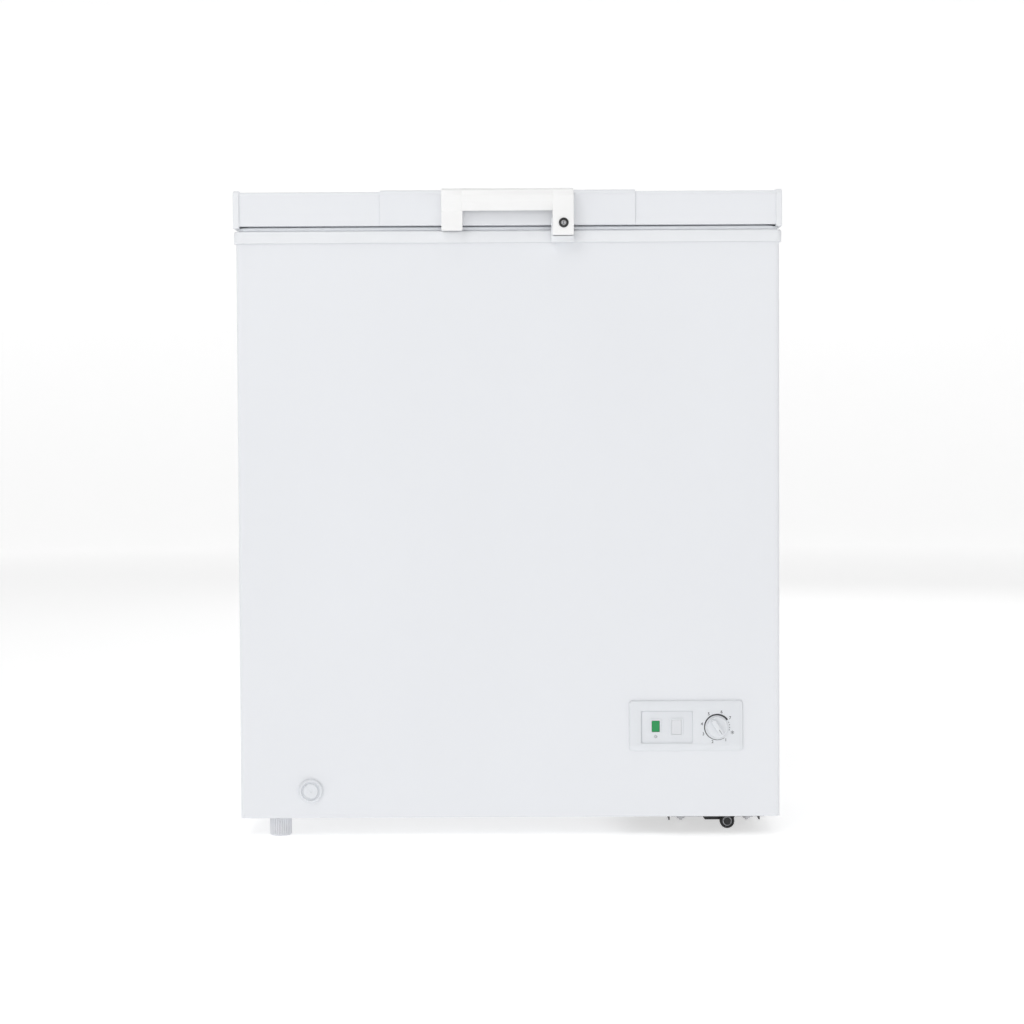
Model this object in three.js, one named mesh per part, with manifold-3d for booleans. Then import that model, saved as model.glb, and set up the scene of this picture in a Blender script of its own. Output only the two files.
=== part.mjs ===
// A small white chest freezer with a rear-hinged lid, a lockable handle and a hanging wire basket.
// Millimetres, +Z up, the front faces -Y. The origin is the centre of the footprint, on the floor.
import * as THREE from "three";
import { mergeVertices } from "three/addons/utils/BufferGeometryUtils.js";
import Module from "manifold-3d";

const wasm = await Module();
wasm.setup();

// ---------------------------------------------------------------- driving dimensions
const HEIGHT = 850; // floor to the top of the lid's end trims
const HALF_WIDTH = 359; // to the outside of the top frame and of the lid
const FRONT = -249; // front of the top frame and of the lid
const BACK = 257; // back of the top frame and of the lid
const REACH = 275; // the handle's front and the hinges' back, so the footprint is centred

const GAP = 0.3; // between pieces that touch
const SHEET = 0.8; // steel sheet
const WALL = 62; // outside of the case to the inside of the liner
const CASE_INSET = 3; // the top frame and the lid overhang the case by this much
const CASE_BOTTOM = 25;
const CASE_TOP = 793;
const CASE_CORNER = 6;
const FRAME_SKIRT = 781;
const FRAME_TOP = 797;
const LEDGE_TOP = 788.5; // the basket hangs on this ledge inside the top frame
const LID_BOTTOM = 803.5;
const LID_TOP = 848;

const LINER_INSET = CASE_INSET + WALL;
const LINER_CORNER = 25;
const LINER_FLOOR = 86;
const LINER_LIP = 786;
const HUMP_TOP = 308; // the liner steps up over the machine compartment
const HUMP_LEFT = 105;

const BAY_LEFT = 150; // machine compartment, at the bottom right
const BAY_TOP = 262;
const BACK_PANEL_Y = 253;

const PANEL = { x: 232, z: 145.4, width: 150, height: 67 }; // control panel on the front
const DRAIN = { x: -263.2, y: -150, z: 61.3 };
const FOOT = { x: -305, y: 230, radius: 14.5 }; // y is from the middle of the case
const CASE_MIDDLE_Y = (FRONT + BACK) / 2;
const BASE = { left: 213, right: 336, web: 16, sheet: 1.5, front: -183, lip: 9.6 };
const CASTER = { x: 291, radius: 9.8, width: 12, front: -196 };
const COMPRESSOR = { x: 280, y: -70, boltX: 46, boltY: 80 };
const HINGE = { x: 220, y: 266, z: 800, radius: 9, pin: 3.5 };
const LOCK = { x: 72.9, z: 804.5, radius: 6.5 };
const HANDLE = { half: 86, opening: 58.7, back: -251.3, cavity: -262.5 };
const LOCK_FACE = -273; // the flat front of the handle's lock leg
const BASKET = { x: [38.5, 281.5], y: [-177, 185], rim: 772, floor: 572 };
const KNOB = { x: 273, z: 143.7, radius: 14 };

// ---------------------------------------------------------------- finishes
const finish = (color, roughness, metalness = 0) =>
  new THREE.MeshStandardMaterial({ color, roughness, metalness });
const FINISH = {
  whitePaint: finish(0xe9eaee, 0.35),
  zincSteel: finish(0xb9bcc0, 0.4, 0.9),
  aluminium: finish(0xd5d8db, 0.35, 0.9),
  foam: finish(0xe6d9ae, 0.9),
  whitePlastic: finish(0xf0f1f2, 0.4),
  handlePlastic: finish(0xf8f8f6, 0.35),
  greyPlastic: finish(0xc9ccd2, 0.45),
  blackSteel: finish(0x17181a, 0.45, 0.3),
  blackRubber: finish(0x141414, 0.8),
  gasket: finish(0xe3e5e8, 0.6),
  copper: finish(0xb87348, 0.3, 1),
  greenLens: finish(0x1f8a4c, 0.2),
  clearLens: finish(0xeceef0, 0.25),
  lockMetal: finish(0x4a4c50, 0.3, 0.9),
  wire: finish(0xf2f2f0, 0.35),
};

// ---------------------------------------------------------------- helpers
// A closed geometry as a solid that can be cut and joined.
function solid(geometry) {
  const bare = geometry.index ? geometry.toNonIndexed() : geometry.clone();
  bare.deleteAttribute("normal");
  bare.deleteAttribute("uv");
  const merged = mergeVertices(bare, 1e-4);
  const index = merged.index.array;
  const kept = [];
  for (let i = 0; i < index.length; i += 3) {
    const [a, b, c] = index.slice(i, i + 3);
    if (a !== b && b !== c && c !== a) kept.push(a, b, c);
  }
  return new wasm.Manifold(
    new wasm.Mesh({
      numProp: 3,
      vertProperties: merged.attributes.position.array,
      triVerts: new Uint32Array(kept),
    }),
  );
}

function piece(name, shape, material, position = [0, 0, 0]) {
  const made = shape.getMesh();
  const geometry = new THREE.BufferGeometry()
    .setAttribute("position", new THREE.BufferAttribute(made.vertProperties, 3))
    .setIndex(new THREE.BufferAttribute(made.triVerts, 1));
  geometry.computeVertexNormals();
  const mesh = new THREE.Mesh(geometry, material);
  mesh.name = name;
  mesh.position.set(...position);
  return mesh;
}

const join = (solids) => solids.reduce((a, b) => a.add(b));
const cut = (whole, ...tools) => tools.reduce((a, b) => a.subtract(b), whole);

// A box given by its ranges.
function block(x, y, z) {
  const box = new THREE.BoxGeometry(x[1] - x[0], y[1] - y[0], z[1] - z[0]);
  box.translate((x[0] + x[1]) / 2, (y[0] + y[1]) / 2, (z[0] + z[1]) / 2);
  return solid(box);
}

function roundedRectangle(x, y, radius) {
  const shape = new THREE.Shape();
  shape.moveTo(x[0] + radius, y[0]);
  shape.lineTo(x[1] - radius, y[0]);
  shape.absarc(x[1] - radius, y[0] + radius, radius, -Math.PI / 2, 0);
  shape.lineTo(x[1], y[1] - radius);
  shape.absarc(x[1] - radius, y[1] - radius, radius, 0, Math.PI / 2);
  shape.lineTo(x[0] + radius, y[1]);
  shape.absarc(x[0] + radius, y[1] - radius, radius, Math.PI / 2, Math.PI);
  shape.lineTo(x[0], y[0] + radius);
  shape.absarc(x[0] + radius, y[0] + radius, radius, Math.PI, 1.5 * Math.PI);
  return shape;
}

function polygon(points) {
  return new THREE.Shape(points.map(([a, b]) => new THREE.Vector2(a, b)));
}

// The prism of a shape along Z, from z[0] to z[1].
function alongZ(shape, z, curveSegments = 4) {
  const depth = z[1] - z[0];
  const geometry = new THREE.ExtrudeGeometry(shape, { depth, bevelEnabled: false, curveSegments });
  return solid(geometry.translate(0, 0, z[0]));
}

// The prism along X of a shape drawn in (y, z).
function alongX(shape, x, curveSegments = 5) {
  const depth = x[1] - x[0];
  const geometry = new THREE.ExtrudeGeometry(shape, { depth, bevelEnabled: false, curveSegments });
  geometry.applyMatrix4(new THREE.Matrix4().set(0, 0, 1, x[0], 1, 0, 0, 0, 0, 1, 0, 0, 0, 0, 0, 1));
  return solid(geometry);
}

// The prism along Y of a shape drawn in (x, z).
function alongY(shape, y, curveSegments = 5) {
  const depth = y[1] - y[0];
  const geometry = new THREE.ExtrudeGeometry(shape, { depth, bevelEnabled: false, curveSegments });
  geometry.applyMatrix4(new THREE.Matrix4().set(1, 0, 0, 0, 0, 0, -1, y[1], 0, 1, 0, 0, 0, 0, 0, 1));
  return solid(geometry);
}

// A turned solid about Z. The profile is [radius, height] pairs, from the bottom up.
function turned(profile, segments = 20) {
  const points = profile.map(([r, h]) => new THREE.Vector2(r, h));
  return solid(new THREE.LatheGeometry(points, segments).rotateX(Math.PI / 2));
}

// The same about Y, where the profile's heights run towards -Y from y = 0.
const turnedForward = (profile, segments = 20) => turned(profile, segments).rotate([90, 0, 0]);

const rod = (radius, from, to, segments = 16) =>
  turned([[0, from], [radius, from], [radius, to], [0, to]], segments);

// A chain of points that a tube follows, with one ring of the tube at each point.
class Route extends THREE.Curve {
  constructor(points) {
    super();
    this.points = points.map((p) => new THREE.Vector3(...p));
  }

  getPointAt(u, target = new THREE.Vector3()) {
    const at = u * (this.points.length - 1);
    const i = Math.min(Math.floor(at + 1e-9), this.points.length - 2);
    return target.lerpVectors(this.points[i], this.points[i + 1], at - i);
  }

  getTangentAt(u, target = new THREE.Vector3()) {
    const last = this.points.length - 1;
    const i = Math.round(u * last);
    const before = this.points[Math.max(i - 1, 0)];
    const here = this.points[i];
    const after = this.points[Math.min(i + 1, last)];
    const arriving = here.clone().sub(before).normalize();
    const leaving = after.clone().sub(here).normalize();
    return target.copy(arriving).add(leaving).normalize();
  }
}

function tube(points, radius, sides = 6) {
  const section = new THREE.Shape();
  for (let i = 0; i < sides; i++) {
    const angle = ((i + 0.5) / sides) * 2 * Math.PI;
    section[i ? "lineTo" : "moveTo"](radius * Math.cos(angle), radius * Math.sin(angle));
  }
  const extrudePath = new Route(points);
  return solid(new THREE.ExtrudeGeometry(section, { steps: points.length - 1, extrudePath }));
}

// The footprint at a distance inwards from the outside of the top frame.
const plan = (inset) => [
  [-HALF_WIDTH + inset, HALF_WIDTH - inset],
  [FRONT + inset, BACK - inset],
];
const slab = (inset, radius, z) => alongZ(roundedRectangle(...plan(inset), radius), z);
const ring = (outer, inner, z) => cut(slab(...outer, z), slab(...inner, [z[0] - 1, z[1] + 1]));

const FAR = 1000; // past every piece

// Points round the footprint at an inset, counter-clockwise from the right wall, with round corners.
function lap(inset, radius, pointsPerCorner = 3) {
  const [x, y] = plan(inset);
  const centres = [
    [x[1] - radius, y[1] - radius, 0],
    [x[0] + radius, y[1] - radius, 90],
    [x[0] + radius, y[0] + radius, 180],
    [x[1] - radius, y[0] + radius, 270],
  ];
  return centres.map(([cx, cy, start]) =>
    Array.from({ length: pointsPerCorner }, (_, i) => {
      const angle = THREE.MathUtils.degToRad(start + (90 * i) / (pointsPerCorner - 1));
      return [cx + radius * Math.cos(angle), cy + radius * Math.sin(angle)];
    }),
  );
}

// ---------------------------------------------------------------- cabinet
const caseInset = (more) => CASE_INSET + more;

function outerCase() {
  const walls = ring([caseInset(0), CASE_CORNER], [caseInset(SHEET), CASE_CORNER - SHEET], [CASE_BOTTOM, CASE_TOP]);
  const hemOutside = [caseInset(SHEET / 2), CASE_CORNER - SHEET / 2];
  const hem = ring(hemOutside, [caseInset(15), CASE_CORNER], [CASE_BOTTOM, CASE_BOTTOM + SHEET]);
  const rearLip = 18;
  const rearOpening = HALF_WIDTH - CASE_INSET - rearLip;
  return cut(
    walls.add(hem),
    block([-rearOpening, rearOpening], [BACK - 25, FAR], [0, FAR]),
    block([PANEL.x - 69, PANEL.x + 69], [-FAR, FRONT + 10], [PANEL.z - 27.5, PANEL.z + 27.5]),
    block([HALF_WIDTH - 10, FAR], [-150, 10], [62, 148]),
    rod(10.5, -20, 20).rotate([90, 0, 0]).translate([DRAIN.x, FRONT, DRAIN.z]),
  );
}

function backPanel() {
  const sheet = block([-350.5, 350.5], [BACK_PANEL_Y - SHEET, BACK_PANEL_Y], [26.1, CASE_TOP]);
  return cut(sheet, block([160, 335], [200, FAR], [40, 250]));
}

// The floor of the case, folded up and over the machine compartment.
function bottomPanel() {
  const low = 26.1;
  const folded = polygon([
    [-355, low], [BAY_LEFT + SHEET, low], [BAY_LEFT + SHEET, BAY_TOP], [355, BAY_TOP],
    [355, BAY_TOP + SHEET], [BAY_LEFT, BAY_TOP + SHEET], [BAY_LEFT, low + SHEET], [-355, low + SHEET],
  ]);
  const fitted = alongY(folded, [-246, 251.9]).intersect(slab(4.1, 4.9, [0, FAR]));
  return cut(fitted, ...footHoles(4.4), ...tubeHoles());
}

const footPlaces = () => [-1, 1].map((side) => [FOOT.x, CASE_MIDDLE_Y + side * FOOT.y, 0]);
const footHoles = (radius) => footPlaces().map((at) => rod(radius, 0, 52, 12).translate(at));

const DISCHARGE_END = [352.3, 225];
const LIQUID_END = [352.3, 238];
const SUCTION_END = [299.6, 92];
const tubeHoles = () => [
  rod(3.4, BAY_TOP - 5, BAY_TOP + 5, 12).translate([...DISCHARGE_END, 0]),
  rod(3.4, BAY_TOP - 5, BAY_TOP + 5, 12).translate([...LIQUID_END, 0]),
  rod(5, BAY_TOP - 5, BAY_TOP + 5, 12).translate([...SUCTION_END, 0]),
];

// The space inside the liner, grown outwards by a thickness.
function linerSpace(grow, top) {
  const [x] = plan(LINER_INSET - grow);
  const stepped = polygon([
    [x[0], LINER_FLOOR - grow], [HUMP_LEFT + grow, LINER_FLOOR - grow], [HUMP_LEFT + grow, HUMP_TOP - grow],
    [x[1], HUMP_TOP - grow], [x[1], top], [x[0], top],
  ]);
  return alongY(stepped, [-FAR, FAR]).intersect(slab(LINER_INSET - grow, LINER_CORNER + grow, [0, FAR]));
}

function innerLiner() {
  const lip = ring([50, 33], [LINER_INSET, LINER_CORNER], [LINER_LIP - 1, LINER_LIP]);
  const pan = cut(linerSpace(1, LINER_LIP), linerSpace(0, FAR)).add(lip);
  return cut(pan, rod(9.8, 60, 100).translate([DRAIN.x, DRAIN.y, 0]));
}

// Foam between the case and the liner, with a space for the tubes along each of them.
function insulationFoam() {
  const low = 27.2;
  const lipUnderside = LINER_LIP - 1 - GAP;
  const filling = slab(4.2, 4.8, [low, lipUnderside]).add(ring([4.2, 4.8], [49.5, 33.5], [lipUnderside, 793.4]));
  return cut(
    filling,
    block([-FAR, FAR], [251.9, FAR], [0, FAR]),
    block([BAY_LEFT - GAP, FAR], [-FAR, FAR], [0, BAY_TOP + SHEET + GAP]),
    linerSpace(1 + GAP, FAR),
    ring([53.5, 36], [LINER_INSET - 1 - GAP, LINER_CORNER + 1], [BAY_TOP + 1, 772]),
    cut(ring([3.5, 5], [10.5, 12], [BAY_TOP + 1, 772]), block([-340, 340], [230, FAR], [0, FAR])),
    tube(drainRoute(4, 4), 10.5, 8),
    ...footHoles(5),
  );
}

// A vinyl frame that closes the top of the wall, with an outer skirt and a ledge for the basket.
function topFrame() {
  return join([
    ring([0, 9], [2.5, 6.5], [FRAME_SKIRT, FRAME_TOP]),
    ring([0, 9], [53, 30], [794, FRAME_TOP]),
    ring([50, 33], [53, 30], [LEDGE_TOP - 2, FRAME_TOP]),
    ring([50, 33], [67, 23], [LEDGE_TOP - 2, LEDGE_TOP]),
    ring([LINER_INSET + GAP, 24.7], [67, 23], [778, LEDGE_TOP]),
  ]);
}

// A louvre is a row of slots, one above the other.
function slots(count, pitch, low, height, box) {
  return Array.from({ length: count }, (_, i) => box([low + i * pitch, low + i * pitch + height]));
}

function rearCover() {
  const sheet = block([152, 337], [BACK_PANEL_Y + GAP, BACK_PANEL_Y + 1.3], [28, 262]);
  const louvres = slots(8, 20, 90, 7, (z) => block([185, 315], [240, 270], z));
  return cut(sheet, ...louvres, rod(8, -20, 20).rotate([90, 0, 0]).translate([180, 254, 58]));
}

function cordGland() {
  const profile = [[3.5, -4], [10, -4], [10, -0.6], [7.6, -0.6], [7.6, 1.9], [9.5, 1.9], [9.5, 5], [3.5, 5], [3.5, -4]];
  return turnedForward(profile, 16).translate([180, BACK_PANEL_Y + GAP + 1, 58]);
}

function sideVentGrille() {
  const face = block([356.3, 358.3], [-162, 22], [50, 160]);
  const collar = cut(
    block([350, 356.4], [-149.6, 9.6], [62.4, 147.6]),
    block([349, 357], [-147.6, 7.6], [64.4, 145.6]),
  );
  const openings = slots(7, 11.4, 67, 5.5, (z) => block([340, FAR], [-145, 5], z));
  return cut(face.add(collar), ...openings);
}

// ---------------------------------------------------------------- cooling circuit
function evaporatorCoil() {
  const turns = 6;
  const low = 345;
  const rise = 66;
  const inset = 58.2;
  const [x] = plan(inset);
  const loop = lap(inset, 31, 4).flat();
  const points = [[x[1], 92, 275], [x[1], 92, 332], [x[1], 95, 341], [x[1], 104, low]];
  for (let turn = 0; turn < turns; turn++) {
    loop.forEach(([px, py], i) => points.push([px, py, low + rise * (turn + (i + 1) / loop.length)]));
  }
  return tube(points, 4, 6);
}

function condenserCoil() {
  const runs = 6;
  const low = 320;
  const pitch = 80;
  const bend = 6;
  const [x] = plan(6.7);
  const [, , frontLeft, frontRight] = lap(6.7, 14);
  const towardsLeft = [...frontRight].reverse().concat([...frontLeft].reverse());
  const points = [[...DISCHARGE_END, BAY_TOP + 8]];
  for (let run = 0; run < runs; run++) {
    const z = low + run * pitch;
    const leftwards = run % 2 === 0;
    const start = leftwards ? x[1] : x[0];
    const end = leftwards ? x[0] : x[1];
    const path = leftwards ? towardsLeft : [...towardsLeft].reverse();
    points.push([start, 225, z - bend], [start, 225 - bend, z]);
    path.forEach(([px, py]) => points.push([px, py, z]));
    if (run < runs - 1) points.push([end, 225 - bend, z], [end, 225, z + bend]);
  }
  const top = low + (runs - 1) * pitch;
  points.push([x[1], LIQUID_END[1] - bend, top], [x[1], LIQUID_END[1], top - bend]);
  points.push([...LIQUID_END, 250], [346, 236.5, 232], [338, 235, 222], [338, 235, 210]);
  return tube(points, 2.5, 6);
}

function filterDrier() {
  const profile = [[0, 128], [3, 128], [3, 136], [8, 143], [8, 196], [3.2, 203], [3.2, 209.6], [0, 209.6]];
  return turned(profile, 14).translate([338, 235, 0]);
}

function compressor() {
  const shell = turned(
    [[0, 26.5], [42, 27], [62, 36], [71, 55], [74, 80], [74, 104], [77.5, 106], [77.5, 111], [74, 113],
     [74, 135], [70, 156], [58, 171], [36, 179], [0, 181]],
    22,
  ).scale([0.82, 1, 1]).translate([COMPRESSOR.x, COMPRESSOR.y, 0]);
  const foot = cut(
    alongZ(roundedRectangle([220, 340], [-166, 26], 14), [24, 27]),
    ...mountPlaces().map(([x, y]) => rod(8.3, 0, 40).translate([x, y, 0])),
  );
  const stub = (x, z, radius, length) =>
    rod(radius, 0, length, 10).rotate([-90, 0, 0]).translate([x, -8, z]);
  return join([shell, foot, stub(300, 120, 3.2, 30), stub(260, 130, 4.6, 30), stub(280, 96, 2.8, 50)]);
}

const mountPlaces = () =>
  [-1, 1].flatMap((side) =>
    [-1, 1].map((end) => [COMPRESSOR.x + side * COMPRESSOR.boltX, COMPRESSOR.y + end * COMPRESSOR.boltY, 0]),
  );

// A rubber mount that stands on the base plate, with a neck for the compressor's foot.
function grommet() {
  return turned(
    [[4.3, 12.8], [5.6, 12.8], [5.6, 17.8], [11, 17.8], [11, 23.7], [8, 23.7], [8, 27.3], [11, 27.3],
     [10, 32], [4.3, 32], [4.3, 12.8]],
    14,
  );
}

function mountBolt() {
  return join([rod(4.6, 8, 12.5, 6), rod(3.8, 12, 38, 12), rod(7, 32.3, 38.5, 6)]);
}

function startRelayCover() {
  const body = alongX(roundedRectangle([-103, -37], [76, 142], 8), [192, 216.5], 3);
  return cut(body, block([200, 220], [-95, -45], [84, 134]));
}

// A pressed steel plate under the machine compartment, with turned-down lips and raised ends.
function basePlate() {
  const { left, right, web, sheet, front, lip } = BASE;
  const back = 2 * CASE_MIDDLE_Y - front;
  const endTop = CASE_BOTTOM - GAP;
  const parts = [
    block([left, right], [front, back], [web, web + sheet]),
    block([left, left + sheet], [front, back], [lip, web + sheet]),
    block([right - sheet, right], [front, back], [lip, web + sheet]),
  ];
  [[front, -1], [back, 1]].forEach(([y, out]) => {
    const near = (distance) => y + out * distance;
    const span = (a, b) => [near(a), near(b)].sort((p, q) => p - q);
    parts.push(block([left, right], span(-sheet, 0), [web, endTop]));
    parts.push(block([left, right], span(-sheet, 54), [endTop - sheet, endTop]));
  });
  return cut(join(parts), ...mountPlaces().map(([x, y]) => rod(6, 0, 22, 12).translate([x, y, 0])));
}

// A plate with an ear that holds the caster's axle, drawn for the front of the base plate.
function casterBracket() {
  const { x, radius, width, front } = CASTER;
  const plateY = [front + width + 1, front + width + 2.5];
  const top = BASE.web - GAP;
  const plate = alongY(polygon([[x - 33, top], [x - 29, 10], [x + 9, 10], [x + 12.5, top]]), plateY);
  const ear = rod(5.5, plateY[0], plateY[1]).rotate([-90, 0, 0]).translate([x, 0, radius]);
  const flange = block([x - 33, x + 12.5], [plateY[0], plateY[0] + 20], [top - 1.5, top]);
  const axle = rod(2.5, front - 0.8, plateY[1], 14).rotate([-90, 0, 0]).translate([x, 0, radius]);
  const head = rod(5, front - 2, front - 0.5, 14).rotate([-90, 0, 0]).translate([x, 0, radius]);
  return join([plate, ear, flange, axle, head]);
}

function casterWheel() {
  const { radius, width } = CASTER;
  const half = width / 2;
  const profile = [
    [2.8, -half], [radius - 2.2, -half], [radius - 0.6, 1 - half], [radius, 3 - half],
    [radius, half - 3], [radius - 0.6, half - 1], [radius - 2.2, half], [2.8, half], [2.8, -half],
  ];
  return turnedForward(profile, 28);
}

function levellingFoot() {
  const flutes = 20;
  const outline = [];
  for (let i = 0; i < flutes; i++) {
    [[-0.28, 0], [0.28, 0], [0.5, 0.9]].forEach(([turn, depth]) => {
      const angle = ((i + turn) / flutes) * 2 * Math.PI;
      outline.push([(FOOT.radius - depth) * Math.cos(angle), (FOOT.radius - depth) * Math.sin(angle)]);
    });
  }
  const grip = alongZ(polygon(outline), [3, CASE_BOTTOM - GAP]);
  const sole = turned([[0, 0], [11.5, 0], [13.2, 1], [13.6, 3.1], [0, 3.1]], 24);
  return join([grip, sole, rod(4, 20, 48, 12)]);
}

// ---------------------------------------------------------------- drain
// From the liner's floor down and forwards to the front of the case, lengthened at each end.
function drainRoute(up, out) {
  const { x, y, z } = DRAIN;
  return [
    [x, y, LINER_FLOOR + up], [x, y, z + 12], [x, y - 3.5, z + 3.5], [x, y - 12, z], [x, FRONT + 3.5 - out, z],
  ];
}

function drainTube() {
  const collar = rod(13, LINER_FLOOR + GAP, LINER_FLOOR + 1.8, 20).translate([DRAIN.x, DRAIN.y, 0]);
  const pipe = tube(drainRoute(1, 0), 9.5, 12).add(collar);
  return cut(pipe, tube(drainRoute(6, 6), 7.8, 12));
}

function drainStopper() {
  const top = LINER_FLOOR + 2.1;
  return turned(
    [[0, 77], [6.6, 77], [7, 79], [7, top], [12.5, top], [12.5, top + 1.8], [4.5, top + 2.6], [3.6, top + 9], [0, top + 10]],
    20,
  );
}

// The heights run out of the front of the case.
function drainCap() {
  return turnedForward(
    [[0, -8], [7, -8], [7, 0.3], [15.8, 0.3], [15.8, 2.8], [14.6, 4.2], [12, 4.6], [11, 3.6], [9.2, 3.6], [8.4, 4.6], [0, 4.8]],
    28,
  );
}

// ---------------------------------------------------------------- control panel
const GREEN_LENS = { x: [187, 197], z: [137.5, 152] };
const CLEAR_LENS = { x: [213, 226], z: [134, 153] };
const CASE_FRONT = FRONT + CASE_INSET;
const loosen = (range, by) => [range[0] - by, range[1] + by];

function controlPanelBezel() {
  const { x, z, width, height } = PANEL;
  const face = alongY(
    roundedRectangle([x - width / 2, x + width / 2], [z - height / 2, z + height / 2], 5),
    [FRONT, CASE_FRONT - GAP], 4,
  );
  const body = block([x - 68.6, x + 68.6], [CASE_FRONT - GAP - 0.1, -241.5], [z - 27.1, z + 27.1]);
  return cut(
    face.add(body),
    alongY(roundedRectangle([172.7, 240.6], [122.3, 165.2], 2), [-FAR, FRONT + 2], 3),
    block(loosen(GREEN_LENS.x, GAP), [-FAR, FAR], loosen(GREEN_LENS.z, GAP)),
    block(loosen(CLEAR_LENS.x, GAP), [-FAR, FAR], loosen(CLEAR_LENS.z, GAP)),
    rod(4.4, -20, 20).rotate([90, 0, 0]).translate([KNOB.x, FRONT, KNOB.z]),
  );
}

const lens = ({ x, z }) => alongY(roundedRectangle(x, z, 0.8), [FRONT + 1.2, -241.8], 2);

function lampHolder() {
  return cut(block([183, 230], [-241.2, -222], [130, 157]), block([188, 225], [-230, -200], [135, 152]));
}

function thermostatBody() {
  const { x, z } = KNOB;
  const box = block([x - 18, x + 18], [-241.2, -214], [z - 17, z + 17]);
  const terminal = block([x - 12, x + 12], [-214.1, -206], [z - 1, z + 1]);
  const bellows = rod(10, -3, 12, 14).translate([x, -226, z + 17]);
  return join([box, terminal, bellows]);
}

// The heights run out of the panel's front.
function thermostatKnob() {
  const disc = turnedForward(
    [[0, -7], [3.8, -7], [3.8, 0.5], [KNOB.radius, 0.5], [KNOB.radius, 3], [12.8, 5], [0, 5.4]], 28,
  );
  const grip = alongY(roundedRectangle([-3.2, 3.2], [-12.9, 12.9], 3), [-12, -4], 4).rotate([0, -33, 0]);
  return disc.add(grip);
}

// ---------------------------------------------------------------- lid
function cPath(outset, corner, low) {
  const shape = new THREE.Shape();
  const [y0, y1, top] = [FRONT - outset, BACK + outset, LID_TOP + outset];
  shape.moveTo(y0, low);
  shape.lineTo(y1, low);
  shape.lineTo(y1, top - corner);
  shape.absarc(y1 - corner, top - corner, corner, 0, Math.PI / 2);
  shape.lineTo(y0 + corner, top);
  shape.absarc(y0 + corner, top - corner, corner, Math.PI / 2, Math.PI);
  return shape;
}

const LID_PANEL_HALF = HALF_WIDTH - 2.3;

// The steel top, folded down at the front and back and in under the edges.
function lidOuterPanel() {
  const x = [-LID_PANEL_HALF, LID_PANEL_HALF];
  const skin = cut(alongX(cPath(0, 6, LID_BOTTOM), x), alongX(cPath(-SHEET, 5.2, LID_BOTTOM - 5), loosen(x, 1)));
  const hems = [[FRONT, FRONT + 12], [BACK - 12, BACK]].map((y) => block(x, y, [LID_BOTTOM, LID_BOTTOM + SHEET]));
  return join([skin, ...hems]);
}

const PLUG_INSET = 78;
const LID_LINER_LOW = LID_BOTTOM + SHEET + GAP;

// The vacuum-formed underside, with a shallow plug that drops into the opening.
function lidInnerLiner() {
  const sheet = block([-355.6, 355.6], [FRONT + 1.2, BACK - 1.2], [LID_LINER_LOW, LID_LINER_LOW + 1.5]);
  const plug = slab(PLUG_INSET, 20, [790, LID_LINER_LOW + 0.1]);
  return cut(sheet.add(plug), slab(PLUG_INSET + 1.5, 18.5, [791.5, FAR]));
}

function lidFoam() {
  const low = LID_LINER_LOW + 1.5 + GAP;
  const filling = alongX(cPath(-SHEET - GAP, 4.8, low), [-355.6, 355.6]);
  return filling.add(slab(PLUG_INSET + 1.8, 18.2, [791.8, low + 0.1]));
}

function lidGasket() {
  const low = FRAME_TOP + GAP;
  const foot = ring([19, 12], [28, 8], [LID_LINER_LOW - 2, LID_LINER_LOW - GAP]);
  return ring([17, 14], [30, 6], [low, LID_LINER_LOW - 2]).add(foot);
}

// A plastic channel over the lid's end, drawn for the right-hand side.
function lidEndTrim() {
  const outer = cPath(2, 8, LID_BOTTOM - 2.5);
  const inner = cPath(GAP, 6.3, LID_BOTTOM - GAP);
  return cut(alongX(outer, [HALF_WIDTH - 8, HALF_WIDTH], 4), alongX(inner, [HALF_WIDTH - 20, HALF_WIDTH - 2], 4));
}

// A thin wide plate over the front edge of the lid, under the handle.
function handleBackplate() {
  const x = [-167, 167];
  const whole = cut(
    alongX(cPath(2, 8, LID_BOTTOM + 0.5), x),
    alongX(cPath(GAP, 6.3, 700), loosen(x, 1)),
  );
  return cut(whole, block([-FAR, FAR], [FRONT + 36, FAR], [0, FAR]));
}

function handle() {
  const { half, opening, back, cavity } = HANDLE;
  const grip = new THREE.Shape();
  grip.moveTo(back, HEIGHT);
  grip.lineTo(-262, HEIGHT);
  grip.bezierCurveTo(-271, HEIGHT, -REACH, 846, -REACH, 839);
  grip.bezierCurveTo(-REACH, 832, -270, 826, -266, 821);
  grip.lineTo(-262, 822);
  grip.bezierCurveTo(-266, 827, -271, 833, -271, 839);
  grip.bezierCurveTo(-271, 843.5, -268, 846, -261, 846);
  grip.lineTo(back, 846);
  const leg = (bottom, face) => {
    const shape = new THREE.Shape();
    shape.moveTo(back, HEIGHT);
    shape.lineTo(-262, HEIGHT);
    shape.bezierCurveTo(-271, HEIGHT, -REACH, 846, -REACH, 839);
    shape.bezierCurveTo(-REACH, 832, Math.max(face - 3, -REACH), 826, face, 821);
    shape.lineTo(face, bottom);
    shape.lineTo(back, bottom);
    return shape;
  };
  const whole = join([
    alongX(grip, [-opening - 1, opening + 1], 6),
    alongX(leg(796, -264), [-half, -opening], 6),
    alongX(leg(789, LOCK_FACE), [opening, half], 6),
  ]);
  return cut(
    whole,
    block([opening - 1, half - 2.5], [cavity, back + 1], [700, 822]),
    block([2.5 - half, -opening - 2.5], [-260, back + 1], [700, 822]),
    rod(LOCK.radius + 0.2, -40, 40, 24).rotate([90, 0, 0]).translate([LOCK.x, FRONT, LOCK.z]),
  );
}

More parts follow.
